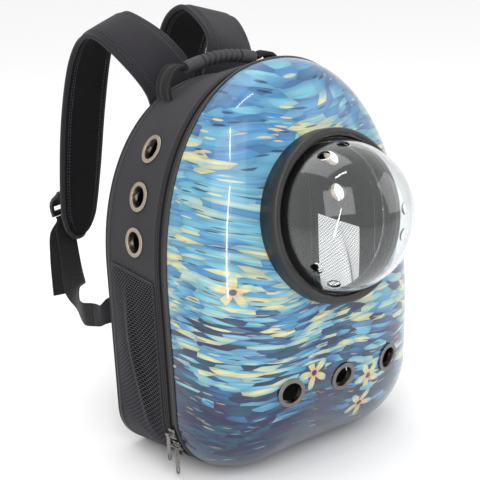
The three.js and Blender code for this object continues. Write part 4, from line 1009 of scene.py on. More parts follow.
def build_zip():
    """The band with its covering flap, two rows of teeth, and the bevelled sliders and pulls."""
    m = library()
    low = -ZIP_RECESS - ZIP_TAPE
    profile = [
        (BAND_FRONT, low), (BAND_FRONT, -0.9), (BAND_FRONT + 0.4, -0.5), (BAND_FRONT + 1.1, -0.6),
        (BAND_FRONT + 1.5, -1.2), (BAND_FRONT + 1.6, -ZIP_RECESS), (FLAP_FRONT - 0.2, -ZIP_RECESS),
        (FLAP_FRONT - 0.1, -0.7), (FLAP_FRONT + 0.2, -0.2), (FLAP_FRONT + 0.8, 0),
        (FLAP_FRONT + 2.2, 0), (FLAP_FRONT + 2.6, -0.35), (FLAP_FRONT + 3.0, 0),
        (BAND_BACK - 0.6, 0), (BAND_BACK, -0.5), (BAND_BACK, low),
    ]
    border = surface("zip_border", body_loop(profile), [m["tape"]], around=True, sharp=50)
    dress(border, "zip_band")
    dress(zip_teeth(m["teeth"]), "zip_chain")
    for half, body in (("upper", "pull_upper_body"), ("lower", "pull_lower_body")):
        refined(f"zip_slider_{half}", f"slider_{half}", m["slider"], 0.5)
        refined(f"zip_pull_{half}", f"pull_{half}", m["slider"], 0.25, body)


def zip_teeth(material):
    """Two rows of teeth half a step apart all round the body, each a block that narrows upwards."""
    pitch = bpy.context.scene.carrier_trim.tooth_pitch * METRE
    ring = body_ring(ZIP_MIDDLE, -ZIP_RECESS + GAP)
    closed = np.vstack([ring, ring[:1]])
    run = lengths_along(closed)
    count = int(run[-1] / pitch)
    start = np.arange(count) * run[-1] / count

    def at(place):
        return np.stack([np.interp(place, run, closed[:, i], period=run[-1]) for i in range(3)], axis=1)

    block = np.array([
        (-1, -1, 0), (1, -1, 0), (1, 1, 0), (-1, 1, 0),
        (-0.8, -0.9, 0.8), (0.8, -0.9, 0.8), (0.8, 0.9, 0.8), (-0.8, 0.9, 0.8),
        (-0.4, -0.6, 1), (0.4, -0.6, 1), (0.4, 0.6, 1), (-0.4, 0.6, 1)])
    quads = np.array([(3, 2, 1, 0), (8, 9, 10, 11)] + [
        (s + i, s + (i + 1) % 4, s + 4 + (i + 1) % 4, s + 4 + i) for s in (0, 4) for i in range(4)])
    rows = []
    for row in (-1, 1):
        here = start + (row > 0) * pitch / 2
        middle = at(here)
        along = unit(at(here + 0.5) - middle)
        up = np.cross(along, (0, 1, 0))
        centre = middle + np.array([0, row * TOOTH_ROW_OUT, 0])
        teeth = (centre[:, None] + along[:, None] * block[:, :1] * pitch * TOOTH_SHARE
                 + np.array([0, 1, 0]) * block[:, 1:2] * TOOTH_WIDTH
                 + up[:, None] * block[:, 2:] * TOOTH_HEIGHT)
        rows.append(teeth.reshape(-1, 3))
    points = np.vstack(rows)
    faces = (np.arange(2 * count)[:, None, None] * len(block) + quads).reshape(-1, 4)
    return make_mesh("zip_teeth_rows", points, outwards(points, faces), [material], sharp=60)


def refined(node, name, material, bevel, body="root"):
    """A CAD node's own mesh, merged, with its edges rounded by a bevel in millimetres."""
    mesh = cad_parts[node].data.copy()
    made = bpy.data.objects.new(name, mesh)
    bpy.context.scene.collection.objects.link(made)
    weld = made.modifiers.new("weld", "WELD")
    weld.merge_threshold = 0.00001
    plane = made.modifiers.new("plane", "DECIMATE")
    plane.decimate_type = "DISSOLVE"
    plane.angle_limit = math.radians(1)
    edge = made.modifiers.new("edge", "BEVEL")
    edge.width = bevel * 0.001
    edge.segments = 2
    edge.limit_method = "ANGLE"
    edge.angle_limit = math.radians(30)
    edge.use_clamp_overlap = True
    apply_modifiers(made)
    final = made.data
    final.materials.clear()
    final.materials.append(material)
    final.polygons.foreach_set("material_index", np.zeros(len(final.polygons), np.int32))
    finish_shading(made, 38)
    return dress(made, node, body)


# Cloth sides


def window_edges(lap):
    """Front and back depth of the net window, and its top and low height at a depth."""
    front, back = GUSSET_FRONT + NET_MARGIN - lap, GUSSET_BACK - NET_MARGIN + lap

    def share(y):
        return (y - GUSSET_FRONT) / (GUSSET_BACK - GUSSET_FRONT)

    def top(y):
        return NET_TOP_FRONT + (NET_TOP_BACK - NET_TOP_FRONT) * share(y) + lap

    def low(y):
        return NET_LOW_FRONT + (NET_LOW_BACK - NET_LOW_FRONT) * share(y) - lap

    return front, back, top, low


def window_corners(lap):
    """The window's four corners as (depth, height) rows, grown by a lap."""
    front, back, top, low = window_edges(lap)
    return np.array([[front, low(front)], [back, low(back)], [back, top(back)], [front, top(front)]])


def ripple(points, size, scale):
    """A smooth unevenness: the sum of a few slow waves over place."""
    x, y, z = (points[..., i] / scale for i in range(3))
    waves = np.sin(2.1 * x + 1.3 * z) + np.sin(1.7 * y - 1.9 * z + 1) + np.sin(3.1 * z + 0.6 * x + 2)
    return size * waves / 3


def build_gusset():
    """The cloth side wall, gently uneven, cut for the windows and side eyelets, with a folded
    binding and stitches round each window and along both edges."""
    m = library()
    steps = np.linspace(0, 1, 15)
    outer = [(GUSSET_FRONT + (GUSSET_BACK - GUSSET_FRONT) * s, 0) for s in steps]
    inner = [(y, -FABRIC_WALL) for y, _ in outer[::-1]]
    grid = body_loop(outer + inner)
    away = unit(grid - np.array([0, 0, CLOTH_MIDDLE_HEIGHT])) * [1, 0, 1]
    edge = np.r_[np.sin(np.pi * steps), np.sin(np.pi * steps[::-1])][None, :]
    uneven = edge * ripple(grid, CLOTH_RIPPLE, CLOTH_RIPPLE_SCALE) * (grid[..., 2] > 2)
    grid = grid + away * uneven[..., None]
    # the inner faces take the darker inner cloth, painted as shade inside the carrier
    slots = np.repeat([0, 1], [len(outer), len(inner)])[None, :] * np.ones(len(grid), int)[:, None]
    made = surface("cloth_side", grid, [m["cloth"], m["shaded_lining"]], around=True, slots=slots)
    cutters = []
    for side in (-1, 1):
        corners = window_corners(0)
        ends = [np.c_[np.full(4, side * x), corners] for x in (BACK_WIDTH / 4, FRONT_WIDTH)]
        cutters.append(surface("cut", np.stack(ends), [], capped=True))
    cutters += [rod("cut", eyelet_frame(node), EYELET_TUBE + GAP, -12, 12) for node in EYELETS[3:]]
    carve(made, cutters)
    dress(made, "gusset")
    for side, name in ((-1, "left"), (1, "right")):
        trim_window(side, name)
    for y, name in ((GUSSET_FRONT + EDGE_STITCH_INSET, "front"), (GUSSET_BACK - EDGE_STITCH_INSET, "back")):
        stitch_edge(y, name)


def trim_window(side, name):
    """The folded binding round a window, and its stitches."""
    m = library()
    path = resample(rounded_polygon(window_corners(BINDING_OUTSET), 5.0, 8), 400, True)
    inwards = np.array([side, 0, 0]) * np.ones((len(path), 3))

    def lifted(offset):
        return np.c_[side * side_reach(path[:, 0], path[:, 1], offset), path]

    binding = strip(f"window_binding_{name}", lifted(0.55), inwards, BINDING_WIDTH, BINDING_THICKNESS,
                    m["tape"], loop=True)
    fit(binding)
    fit(stitches(f"window_stitches_{name}", lifted(1.15), inwards, m["stitch"], True))


def stitch_edge(y, name):
    """A row of stitches round the body at one depth, open under the base."""
    ring = body_ring(y, 0.15)
    ring = ring[ring[:, 2] > 3]
    start = np.argmax(np.linalg.norm(np.diff(ring, axis=0, append=ring[:1]), axis=1)) + 1
    ring = np.roll(ring, -start, axis=0)
    away = unit((ring - np.array([0, y, CLOTH_MIDDLE_HEIGHT])) * [1, 0, 1])
    fit(stitches(f"side_stitches_{name}", ring, away, library()["stitch"], False))


def rounded_polygon(corners, radius, count):
    """Corners replaced by quadratic curves that start and end a radius away from each."""
    rows = []
    for i, corner in enumerate(corners):
        before, after = corners[i - 1], corners[(i + 1) % len(corners)]
        start = corner + unit(before - corner) * radius
        end = corner + unit(after - corner) * radius
        t = np.linspace(0, 1, count)[:, None]
        rows.append((1 - t) ** 2 * start + 2 * t * (1 - t) * corner + t**2 * end)
    return np.vstack(rows)


def resample(path, count, loop):
    """Evenly spaced points along a path."""
    full = np.vstack([path, path[:1]]) if loop else path
    run = lengths_along(full)
    at = np.linspace(0, run[-1], count, endpoint=not loop)
    return np.stack([np.interp(at, run, full[:, i]) for i in range(full.shape[1])], axis=1)


def strip(name, middle, normal, width, thickness, material, loop=False):
    """A soft-edged band along a path: an oval section of width across it and thickness along the
    normal, which is squared to the path."""
    if loop:
        along = unit(np.roll(middle, -1, axis=0) - np.roll(middle, 1, axis=0))
    else:
        along = unit(np.gradient(middle, axis=0))
    side = unit(np.cross(normal, along))
    up = np.cross(along, side)
    turn = np.linspace(0, 2 * np.pi, 12, endpoint=False)
    section = np.c_[np.sign(np.cos(turn)) * np.abs(np.cos(turn)) ** 0.4,
                    np.sign(np.sin(turn)) * np.abs(np.sin(turn)) ** 0.5]
    grid = (middle[:, None] + side[:, None] * section[:, :1] * width / 2
            + up[:, None] * section[:, 1:] * thickness / 2)
    return surface(name, grid, [material], around=loop, capped=not loop, sharp=50)


def stitches(name, path, normal, material, loop):
    """A row of stitches: small spindles laid along a path, each a stitch long with a short gap."""
    length = bpy.context.scene.carrier_cloth.stitch * METRE
    full = np.vstack([path, path[:1]]) if loop else path
    normals = np.vstack([normal, normal[:1]]) if loop else normal
    run = lengths_along(full)
    count = max(int(run[-1] / (length * STITCH_STEP)), 2)
    start = (np.arange(count) + 0.15) * run[-1] / count

    def at(values, place):
        return np.stack([np.interp(place, run, values[:, i]) for i in range(3)], axis=1)

    near, far = at(full, start), at(full, start + length)
    along = unit(far - near)
    up = unit(at(normals, start + length / 2))
    side = unit(np.cross(up, along))
    up = np.cross(along, side)
    shares = np.array([0.0, 0.2, 0.5, 0.8, 1.0])
    girth = np.array([0.35, 0.95, 1.0, 0.95, 0.35]) * STITCH_RADIUS
    turn = np.linspace(0, 2 * np.pi, 5, endpoint=False)
    middle = near[:, None] + (far - near)[:, None] * shares[:, None]
    circle = (side[:, None, None] * np.cos(turn)[:, None] + up[:, None, None] * np.sin(turn)[:, None])
    grid = middle[:, :, None] + circle * girth[:, None, None]
    rows, columns = len(shares), len(turn)
    r, c = indices(rows - 1, columns)
    n = (c + 1) % columns
    one = np.stack([r * columns + c, r * columns + n, (r + 1) * columns + n, (r + 1) * columns + c], axis=1)
    faces = (np.arange(count)[:, None, None] * rows * columns + one).reshape(-1, 4)
    points = grid.reshape(-1, 3)
    return make_mesh(name, points, outwards(points, faces), [material], sharp=80)


def net_surface(side, u, v, lift):
    """The slack net: it bellies out as sin(pi u) sin(pi v), and one fold slants across it."""
    front, back, top, low = window_edges(NET_LAP)
    y = front + (back - front) * u
    z = low(y) + (top(y) - low(y)) * v
    slack = np.sin(np.pi * u) * np.sin(np.pi * v)
    line = NET_FOLD_START + (NET_FOLD_END - NET_FOLD_START) * v
    fold = NET_FOLD * np.exp(-(((u - line) / NET_FOLD_WIDTH) ** 2)) * np.sin(np.pi * v)
    wave = 0.5 * np.sin(9 * v + 4 * u) * slack
    offset = NET_STANDOFF + lift + NET_BULGE * slack + fold * np.minimum(3 * slack, 1) + wave
    return np.stack([side * side_reach(y, z, offset), y, z], axis=-1)


def build_net():
    """Net panels: three-sided threads on the slack surface, in zigzag rows whose crests are joined
    to the next row's troughs."""
    m = library()
    cloth = bpy.context.scene.carrier_cloth
    pitch, thread = cloth.net_pitch * METRE, cloth.net_thread * METRE
    front, back, top, low = window_edges(NET_LAP)
    columns = int((back - front) / (pitch * 0.8))
    rows = int((top(front) - low(front)) / pitch)
    r, c = indices(rows + 1, columns + 1)
    row_joint = c < columns
    link = ((r + c) % 2 == 0) & (r < rows)
    start_r, start_c = np.r_[r[row_joint], r[link]], np.r_[c[row_joint], c[link]]
    end_r, end_c = np.r_[r[row_joint], r[link] + 1], np.r_[c[row_joint] + 1, c[link]]
    girth = np.r_[np.full(row_joint.sum(), thread), np.full(link.sum(), thread * 0.75)][:, None, None]

    def place(side, row, column):
        zigzag = row + np.where((row + column) % 2 == 0, NET_ZIGZAG, -NET_ZIGZAG)
        return net_surface(side, column / columns, np.clip(zigzag, 0, rows) / rows, 0.5)

    turn = np.radians([90, 210, 330])
    one = np.array([(0, 1, 4, 3), (1, 2, 5, 4), (2, 0, 3, 5)])
    for side, name in ((-1, "left"), (1, "right")):
        a, b = place(side, start_r, start_c), place(side, end_r, end_c)
        along = unit(b - a)
        across = unit(np.cross(along, (side, 0, 0)))
        up = np.cross(across, along)
        circle = across[:, None] * np.cos(turn)[:, None] + up[:, None] * np.sin(turn)[:, None]
        grid = np.stack([a[:, None] + circle * girth, b[:, None] + circle * girth], axis=1)
        points = grid.reshape(-1, 3)
        faces = (np.arange(len(a))[:, None, None] * 6 + one).reshape(-1, 4)
        made = make_mesh(f"net_{name}", points, outwards(points, faces), [m["net"]], sharp=180)
        dress(made, f"mesh_{name}")
        wide, tall = (back - front) * 0.001, (top(front) - low(front)) * 0.001


def build_back():
    """Padded back: rings of the body outline drawn in towards the middle, crowned, with the pad's
    soft edge and two sewn channels."""
    m = library()
    shares = np.r_[1, 0.995, 0.985, np.linspace(0.97, 0.06, 40)]
    ring = body_ring(BACK_Y + GAP, 0)
    centre = np.array([0, BACK_Y, BACK_MIDDLE_HEIGHT])
    depth = PANEL_BACK - BACK_Y - GAP
    rows = [ring, ring + [0, depth * 0.45, 0]]
    for share in shares[1:]:
        inset = 1 - share
        crown = depth * (1 - np.exp(-inset * 42)) * 0.98
        groove = 2.2 * (np.exp(-((share - 0.86) / 0.012) ** 2) + np.exp(-((share - 0.46) / 0.014) ** 2))
        row = centre + (ring - centre) * share
        row[:, 1] = BACK_Y + GAP + max(crown, depth * 0.5) - groove
        rows.append(row)
    face = np.array(rows)
    inner = np.array([centre + (ring - centre) * s for s in (0.06, 0.5, 0.98)])
    inner[..., 1] = BACK_Y + GAP
    grid = np.vstack([inner, face])
    # the inner side takes the darker inner cloth, painted as shade inside the carrier
    slots = np.r_[np.ones(3), np.zeros(len(face) - 1)][:, None] * np.ones(len(ring))
    made = dish(grid, [m["cloth"], m["shaded_lining"]], "padded_back", slots.astype(int))
    dress(made, "back_panel")


# Handle


def handle_middle(x):
    """The grip's middle line: level, with a cosine arch of HANDLE_ARCH."""
    height = HANDLE_HEIGHT + HANDLE_ARCH * np.cos(np.pi * x / HANDLE_LENGTH)
    return np.stack([x, np.full_like(x, HANDLE_BACK), height], axis=-1)


def build_handle():
    """Ribbed grip turned along its arch, and the gathered webbing at both ends."""
    m = library()
    ribs = bpy.context.scene.carrier_trim.ribs
    half = HANDLE_LENGTH / 2
    x = np.linspace(-half, half, 240)
    ribbed = half * GRIP_RIB_SHARE
    wave = np.clip(np.cos(2 * np.pi * ribs * (x + ribbed) / (2 * ribbed) + np.pi) * 2.2, -1, 1)
    radius = np.where(np.abs(x) < ribbed, GRIP_RADIUS - 1 + wave, GRIP_RADIUS * 1.02)
    rounded = np.clip((half - np.abs(x)) / 3.0, 0, 1)
    radius = radius * (0.8 + 0.2 * np.sqrt(1 - (1 - rounded) ** 2))
    middle = handle_middle(x)
    along = unit(np.gradient(middle, axis=0))
    side = np.broadcast_to([0, 1.0, 0], along.shape)
    up = np.cross(along, side)
    turn = np.linspace(0, 2 * np.pi, 40, endpoint=False)
    grid = (middle[:, None] + radius[:, None, None] * (side[:, None] * np.cos(turn)[:, None]
            + up[:, None] * np.sin(turn)[:, None]))
    dress(surface("ribbed_grip", grid, [m["grip"]], capped=True, sharp=50), "handle_grip")

    course = np.array([(0.0, 1.0, 0.55), (0.25, 1.1, 0.66), (0.62, 1.05, 0.85), (0.9, 0.72, 0.95),
                       (1.0, 0.34, 1.0), (0.96, 0.0, 1.05)])
    start = half + GAP + HANDLE_END_ROOM
    for sign, name in ((-1, "left"), (1, "right")):
        foot = span(f"handle_end_{name}")[0][2]
        places = np.c_[sign * (start + HANDLE_END_OUT * course[:, 0]), np.full(len(course), HANDLE_BACK),
                       foot + (HANDLE_HEIGHT - foot) * course[:, 1]]
        shares = np.linspace(0, 1, 90)
        middle = spline(places, shares)
        width = spline(np.c_[course[:, 2], course[:, 2]], shares)[:, 0] * HANDLE_END_WIDTH
        along = unit(np.gradient(middle, axis=0))
        across = np.broadcast_to([0, 1.0, 0], along.shape)
        up = np.cross(along, across)
        a = np.linspace(-1, 1, 30)
        gather = (1 - shares[:, None]) ** 0.7
        slow = 0.5 * np.sin(5 * a - 4 * shares[:, None] + 1)
        fold = 1.3 * gather * np.cos(9 * a + 2.5 * shares[:, None]) + slow
        thick = HANDLE_END_THICKNESS / 2 * (0.62 + 0.2 * np.cos(7 * a + 1)) * (1 - 0.55 * np.abs(a) ** 6)
        thick = thick * np.ones((len(shares), 1))
        face = [middle[:, None] + across[:, None] * (a * width[:, None] / 2)[..., None]
                + up[:, None] * (fold * 0.8 + s * thick)[..., None] for s in (1, -1)]
        grid = np.concatenate([face[0], face[1][:, ::-1]], axis=1)
        made = surface(f"handle_webbing_{name}", grid, [m["webbing"]], capped=True, sharp=60)
        dress(made, f"handle_end_{name}")


# Straps


def across_of(side, yaw, tilt):
    """The way across a band that is turned by yaw and leaned by tilt, in degrees."""
    yaw, tilt = np.radians(yaw), np.radians(tilt)
    return np.stack([side * np.cos(yaw) * np.cos(tilt), -np.sin(yaw) * np.cos(tilt), -np.sin(tilt)], axis=-1)


def strap_places(side):
    """The rows of the strap's course as places."""
    out, back, up = STRAP_COURSE[:, :3].T
    return np.c_[side * STRAP_OUT * out, PANEL_BACK + STRAP_REACH * back,
                 STRAP_END + (STRAP_TOP - STRAP_END) * up]


def strap_line(side, shares):
    """Middle, way across, face normal and width of a strap at shares of its course."""
    middle = spline(strap_places(side), shares)
    turns = spline(STRAP_COURSE[:, 3:], shares, 0)
    along = unit(np.gradient(middle, axis=0))
    across = across_of(side, turns[:, 0], turns[:, 1])
    across = unit(across - (across * along).sum(axis=1, keepdims=True) * along)
    normal = np.cross(along, across)
    return middle, across, normal, turns[:, 2] * STRAP_WIDTH


def build_straps():
    """Padded straps: an oval face each side of the middle line, thinner at the sewn rows, with a
    folded binding round the edge and two rows of stitches beside it."""
    m = library()
    shares = np.linspace(0, 1, 260)
    a = np.sin(np.linspace(-np.pi / 2, np.pi / 2, 41))
    for side, name in ((-1, "left"), (1, "right")):
        middle, across, normal, width = strap_line(side, shares)
        half = width / 2 - PAD_EDGE
        pad = STRAP_THICKNESS / 2 * (1 - np.abs(a) ** 5) ** 0.5
        sewn = np.exp(-(((np.abs(a) - 0.8) / 0.035) ** 2))
        pad = np.maximum(pad - 1.0 * sewn, 1.4 * (1 - np.abs(a) ** 30))
        run = lengths_along(middle)
        swell = 1 + 0.03 * np.sin(run / 31) * np.sin(run / 13 + 2)
        faces = [middle[:, None] + across[:, None] * (a * half[:, None])[..., None]
                 + normal[:, None] * (s * pad * swell[:, None])[..., None] for s in (1, -1)]
        grid = np.concatenate([faces[0], faces[1][:, -2:0:-1]], axis=1)
        inner_first = (normal[120] * [0, -1, 0]).sum() > 0
        slots = np.full(grid.shape[1], 1 - int(inner_first))
        slots[: len(a) - 1] = int(inner_first)
        slots = slots[None, :] * np.ones((len(grid) - 1, 1), int)
        # the face towards the back takes the spacer cloth, painted darker as shade on the strap's under face
        made = surface(f"padded_strap_{name}", grid, [m["cloth"], m["spacer"]], capped=True, slots=slots)
        dress(made, f"strap_{name}")

        path, up = strap_edge(side, STRAP_BINDING_INSET)
        fit(strip(f"strap_binding_{name}", path, up, STRAP_BINDING_WIDTH, STRAP_BINDING_THICKNESS,
                  m["cloth"]))
        for row, inset in enumerate(STRAP_STITCH_INSETS):
            path, up = strap_edge(side, inset)
            level = np.interp(1 - 2 * inset / STRAP_WIDTH, a, pad)
            for face in (1, -1):
                made = stitches(f"strap_stitches_{name}_{row}_{'outer' if face > 0 else 'inner'}",
                                path + up * face * (level + 0.12), up * face, m["stitch"], False)
                fit(made)


def strap_edge(side, inset):
    """A path at an inset inside the strap's edge, down one side, round the end and up the other,
    with the strap's face normal along it."""
    shares = np.linspace(0.004, 0.965, 220)
    middle, across, normal, width = strap_line(side, shares)
    reach = np.maximum(width / 2 - inset, 1.0)[:, None]
    one, other = middle - across * reach, middle + across * reach
    end = middle[-1] + unit(middle[-1] - middle[-4]) * max(float(reach[-1, 0]) * 0.45, 1.0)
    turn = np.linspace(-0.9, 0.9, 7)[:, None]
    bow = np.sqrt(1 - turn**2)
    bend = middle[-1] + across[-1] * turn * reach[-1] + (end - middle[-1]) * bow
    path = np.vstack([one, bend, other[::-1]])
    normals = np.vstack([normal, np.repeat(normal[-1:], len(bend), axis=0), normal[::-1]])
    even = resample(np.c_[path, normals], 520, False)
    return even[:, :3], unit(even[:, 3:])


def buckle_curve(side):
    """The ladder buckle's bent middle line, from its seat on the strap down to its lower bar, and
    the way across it."""
    course = np.array([(0, 1), (0.18, 0.88), (0.78, 0.66), (1, 0.42), (0.9, 0.16), (0.74, 0)])
    yaw = STRAP_COURSE[BUCKLE_ROW, 3]
    across = across_of(side, yaw, 0)
    behind = np.array([side * math.sin(math.radians(yaw)), math.cos(math.radians(yaw)), 0])
    seat = (STRAP_THICKNESS + BUCKLE_THICKNESS) / 2 + BUCKLE_SEAT
    start = strap_places(side)[BUCKLE_ROW] + across * BUCKLE_OUT
    rise = np.array([0, 0, BUCKLE_UP])
    places = start + behind * (seat + BUCKLE_STANDOFF * course[:, :1]) + rise * course[:, 1:]
    return places, across


def buckle_foot(side, layer):
    """Where the webbing (-1) or its tail (1) leaves the buckle, the point a little further on, and
    the way across."""
    places, across = buckle_curve(side)
    last = spline(places, [0.999, 1.0])
    down = unit(last[1] - last[0])
    behind = unit(np.cross(across, down))
    behind = behind * np.sign(behind[1])
    start = places[-1] + down * 2 * GAP + behind * layer * (WEBBING_THICKNESS + 4 * GAP) / 2
    return start, start + down * WEBBING_LEAVE, across


def tab_run(side):
    """The way in which a tab stands out from the back seam."""
    return unit(np.array([side * 0.2, 1, -0.1]))


ON_EDGE = unit(np.array([0, -0.3, -1.0]))


def tab_end(side):
    """The tab's outer end, where the webbing is sewn in."""
    return np.array([side * (BACK_WIDTH / 2 + 1), PANEL_BACK + TAB_REACH, TAB_HEIGHT - TAB_DROP])


def band(name, places, acrosses, widths, thickness, material, count=160, crease=0.0, hem=0.0):
    """A flat band with soft edges along a curve, its way across and width following lists, and
    the band's length. A hem thickens the last stretch, given in millimetres."""
    shares = np.linspace(0, 1, count)
    middle = spline(places, shares)
    across = spline(acrosses, shares, 0)
    width = spline(np.c_[widths, widths], shares, 0)[:, 0]
    along = unit(np.gradient(middle, axis=0))
    across = unit(across - (across * along).sum(axis=1, keepdims=True) * along)
    normal = np.cross(along, across)
    a = np.linspace(-1, 1, 19)
    run = lengths_along(middle)
    thick = thickness / 2 * (1 + 0.9 * (run[-1] - run < hem))[:, None] * (1 - np.abs(a) ** 12 * 0.6)
    bow = crease * np.cos(a * 2.2) * np.sin(np.pi * shares)[:, None]
    faces = [middle[:, None] + across[:, None] * (a * width[:, None] / 2)[..., None]
             + normal[:, None] * (bow + s * thick)[..., None] for s in (1, -1)]
    grid = np.concatenate([faces[0], faces[1][:, ::-1]], axis=1)
    return surface(name, grid, [material], capped=True, sharp=50), run[-1]


def build_fastening():
    """Ladder buckles with rounded edges, webbing with its twist, hemmed tails and sewn tabs."""
    for side, name in ((-1, "left"), (1, "right")):
        refined(f"buckle_{name}", f"ladder_buckle_{name}", library()["buckle"], 0.8)
        hang_webbing(side, name)
        hang_tail(side, name)
        sew_tab(side, name)


def hang_webbing(side, name):
    """Webbing from the buckle down to the tab, turning from flat on to edge on as it goes. The
    course's columns are shares of the way out, back and up, and of the turn."""
    end = tab_end(side) + tab_run(side) * 4 * GAP
    start, leave, across = buckle_foot(side, -1)
    course = np.array([(0.05, 0.028, 0.8, 0), (0.18, 0.16, 0.36, 0.02), (0.42, 0.35, 0.1, 0.4),
                       (0.66, 0.54, 0.03, 0.75)])
    places = np.c_[start[0] + (end[0] - start[0]) * course[:, 0],
                   start[1] + (end[1] - start[1]) * course[:, 1],
                   end[2] + (start[2] - end[2]) * course[:, 2]]
    places = np.vstack([start, leave, places, end + tab_run(side) * TAB_REACH * 0.6, end])
    flat = across_of(side, 0, WEBBING_TILT)
    turns = np.r_[course[:, 3], 1, 1][:, None]
    acrosses = np.vstack([across, across, unit(flat * (1 - turns) + ON_EDGE * turns)])
    made, length = band(f"webbing_band_{name}", places, acrosses, np.full(len(places), WEBBING_WIDTH),
                        WEBBING_THICKNESS, library()["webbing"], 220)
    dress(made, f"webbing_{name}")


def hang_tail(side, name):
    """The webbing's free end, hemmed. The course's columns are shares of WEBBING_WIDTH out and
    back, and of TAIL_LENGTH down."""
    start, leave, across = buckle_foot(side, 1)
    course = np.array([(0.14, 0.25, 0.25), (0.38, 0.02, 0.5), (0.55, -0.24, 0.76), (0.62, -0.4, 1)])
    places = np.c_[start[0] + side * WEBBING_WIDTH * course[:, 0],
                   start[1] + WEBBING_WIDTH * course[:, 1], start[2] - TAIL_LENGTH * course[:, 2]]
    places = np.vstack([start, leave, places])
    flat = across_of(side, TAIL_YAW, WEBBING_TILT)
    acrosses = np.vstack([across, across, np.repeat(flat[None], len(course), axis=0)])
    made, length = band(f"tail_band_{name}", places, acrosses, np.full(len(places), WEBBING_WIDTH),
                        WEBBING_THICKNESS, library()["webbing"], 120, hem=TAIL_HEM)
    dress(made, f"tail_{name}")


def sew_tab(side, name):
    """The folded tab of cloth, wide at the back seam, narrow at its waist and as wide as the
    webbing at its end."""
    end = tab_end(side)
    root = np.array([side * (BACK_WIDTH / 2 - TAB_ROOT_INSET), PANEL_BACK + 3 * GAP, TAB_HEIGHT])
    before = end - tab_run(side) * TAB_REACH * 0.3
    waist = root * 0.4 + before * 0.6 + np.array([side * TAB_BOW, 0, 0])
    places = np.array([root, root + [0, TAB_REACH * 0.2, 0], waist, before, end])
    down = np.array([0, 0, -1.0])
    widths = np.array([1, 0.9, TAB_WAIST_SHARE, 0.72, WEBBING_WIDTH / TAB_ROOT_WIDTH]) * TAB_ROOT_WIDTH
    made, length = band(f"sewn_tab_{name}", places, np.array([down, down, down, ON_EDGE, ON_EDGE]), widths,
                        TAB_THICKNESS, library()["cloth"], 80, crease=0.4)
    dress(made, f"tab_{name}")


# Stage


def softbox(name, low, high, aim, width, power):
    """An area light running between two places in metres, turned to face a third."""
    low, high = np.array(low, float), np.array(high, float)
    data = bpy.data.lights.new(name, "AREA")
    data.shape = "RECTANGLE"
    data.size = width
    data.size_y = float(np.linalg.norm(high - low))
    data.energy = power
    made = bpy.data.objects.new(name, data)
    made.visible_camera = False
    bpy.context.scene.collection.objects.link(made)
    middle = (low + high) / 2
    up = unit(high - low)
    back = middle - np.array(aim, float)
    back = unit(back - (back @ up) * up)
    turn_to(made, np.stack([np.cross(up, back), up, back], axis=1), middle)


def turn_to(made, axes, place):
    """Sets an object's axes, given as columns, and its place."""
    rows = [[*row, p] for row, p in zip(axes.tolist(), place.tolist())]
    made.matrix_world = Matrix([*rows, [0, 0, 0, 1]])


def build_stage():
    """Pale floor, even surround, softboxes, and the camera at the photograph's angle."""
    scene = bpy.context.scene
    settings = scene.carrier_stage
    g = Graph("floor", Roughness=0.7, Specular_IOR_Level=0.2)
    g.set(Base_Color=tuple(settings.floor))
    corners = [(x * FLOOR_REACH, y * FLOOR_REACH, FLOOR_LEVEL)
               for x, y in ((-1, -1), (1, -1), (1, 1), (-1, 1))]
    floor = make_mesh("floor", corners, [(0, 1, 2, 3)], [g.material])
    world = bpy.data.worlds.new("surround")
    world.use_nodes = True
    world.node_tree.nodes["Background"].inputs["Color"].default_value = (1, 1, 1, 1)
    world.node_tree.nodes["Background"].inputs["Strength"].default_value = settings.surround
    scene.world = world
    middle = (0, 0, 0.22)
    softbox("key", (-1.4, -1.9, 0.9), (-1.0, -1.2, 2.4), middle, 1.8, settings.softbox)
    softbox("fill", (2.0, -1.5, 0.3), (1.8, -1.1, 1.8), middle, 1.5, settings.softbox * 0.5)
    softbox("top", (0, -0.3, 2.4), (0, 1.4, 2.2), middle, 1.6, settings.softbox * 0.7)
    streak_aim = (-0.115, -0.112, 0.27)
    softbox("streak_long", (-0.717, -0.765, 0.02), (-0.681, -1.04, 0.795), streak_aim, 0.028,
            settings.streak)
    softbox("streak_short", (-0.639, -0.929, 1.016), (-0.55, -0.63, 1.34), streak_aim, 0.026,
            settings.streak * 0.5)
    softbox("streak_top", (-0.33, -0.44, 1.5), (0.08, -0.45, 1.5), (0, -0.08, 0.39), 0.03,
            settings.streak * 0.4)

    data = bpy.data.cameras.new("camera")
    data.sensor_width = 36
    data.lens = CAMERA_LENS
    camera = bpy.data.objects.new("camera", data)
    scene.collection.objects.link(camera)
    right, up = np.array(CAMERA_RIGHT), np.array(CAMERA_UP)
    axes = np.stack([right, up, np.cross(right, up)], axis=1)
    turn_to(camera, axes, np.array(CAMERA_PLACE) * MM)
    scene.camera = camera
    scene.view_settings.view_transform = "Standard"


# Operators, panel and main


class CARRIER_OT_shell(Operator):
    """Make the painted hard front"""
    bl_idname = "carrier.shell"
    bl_label = "Painted front"

    def execute(self, context):
        build_shell()
        return {"FINISHED"}


class CARRIER_OT_bubble(Operator):
    """Make the bubble's collar and clear dome"""
    bl_idname = "carrier.bubble"
    bl_label = "Bubble"

    def execute(self, context):
        build_bubble()
        return {"FINISHED"}


class CARRIER_OT_eyelets(Operator):
    """Make the nine metal eyelets"""
    bl_idname = "carrier.eyelets"
    bl_label = "Eyelets"

    def execute(self, context):
        build_eyelets()
        return {"FINISHED"}


class CARRIER_OT_piping(Operator):
    """Make the corded edges"""
    bl_idname = "carrier.piping"
    bl_label = "Corded edges"

    def execute(self, context):
        build_piping()
        return {"FINISHED"}


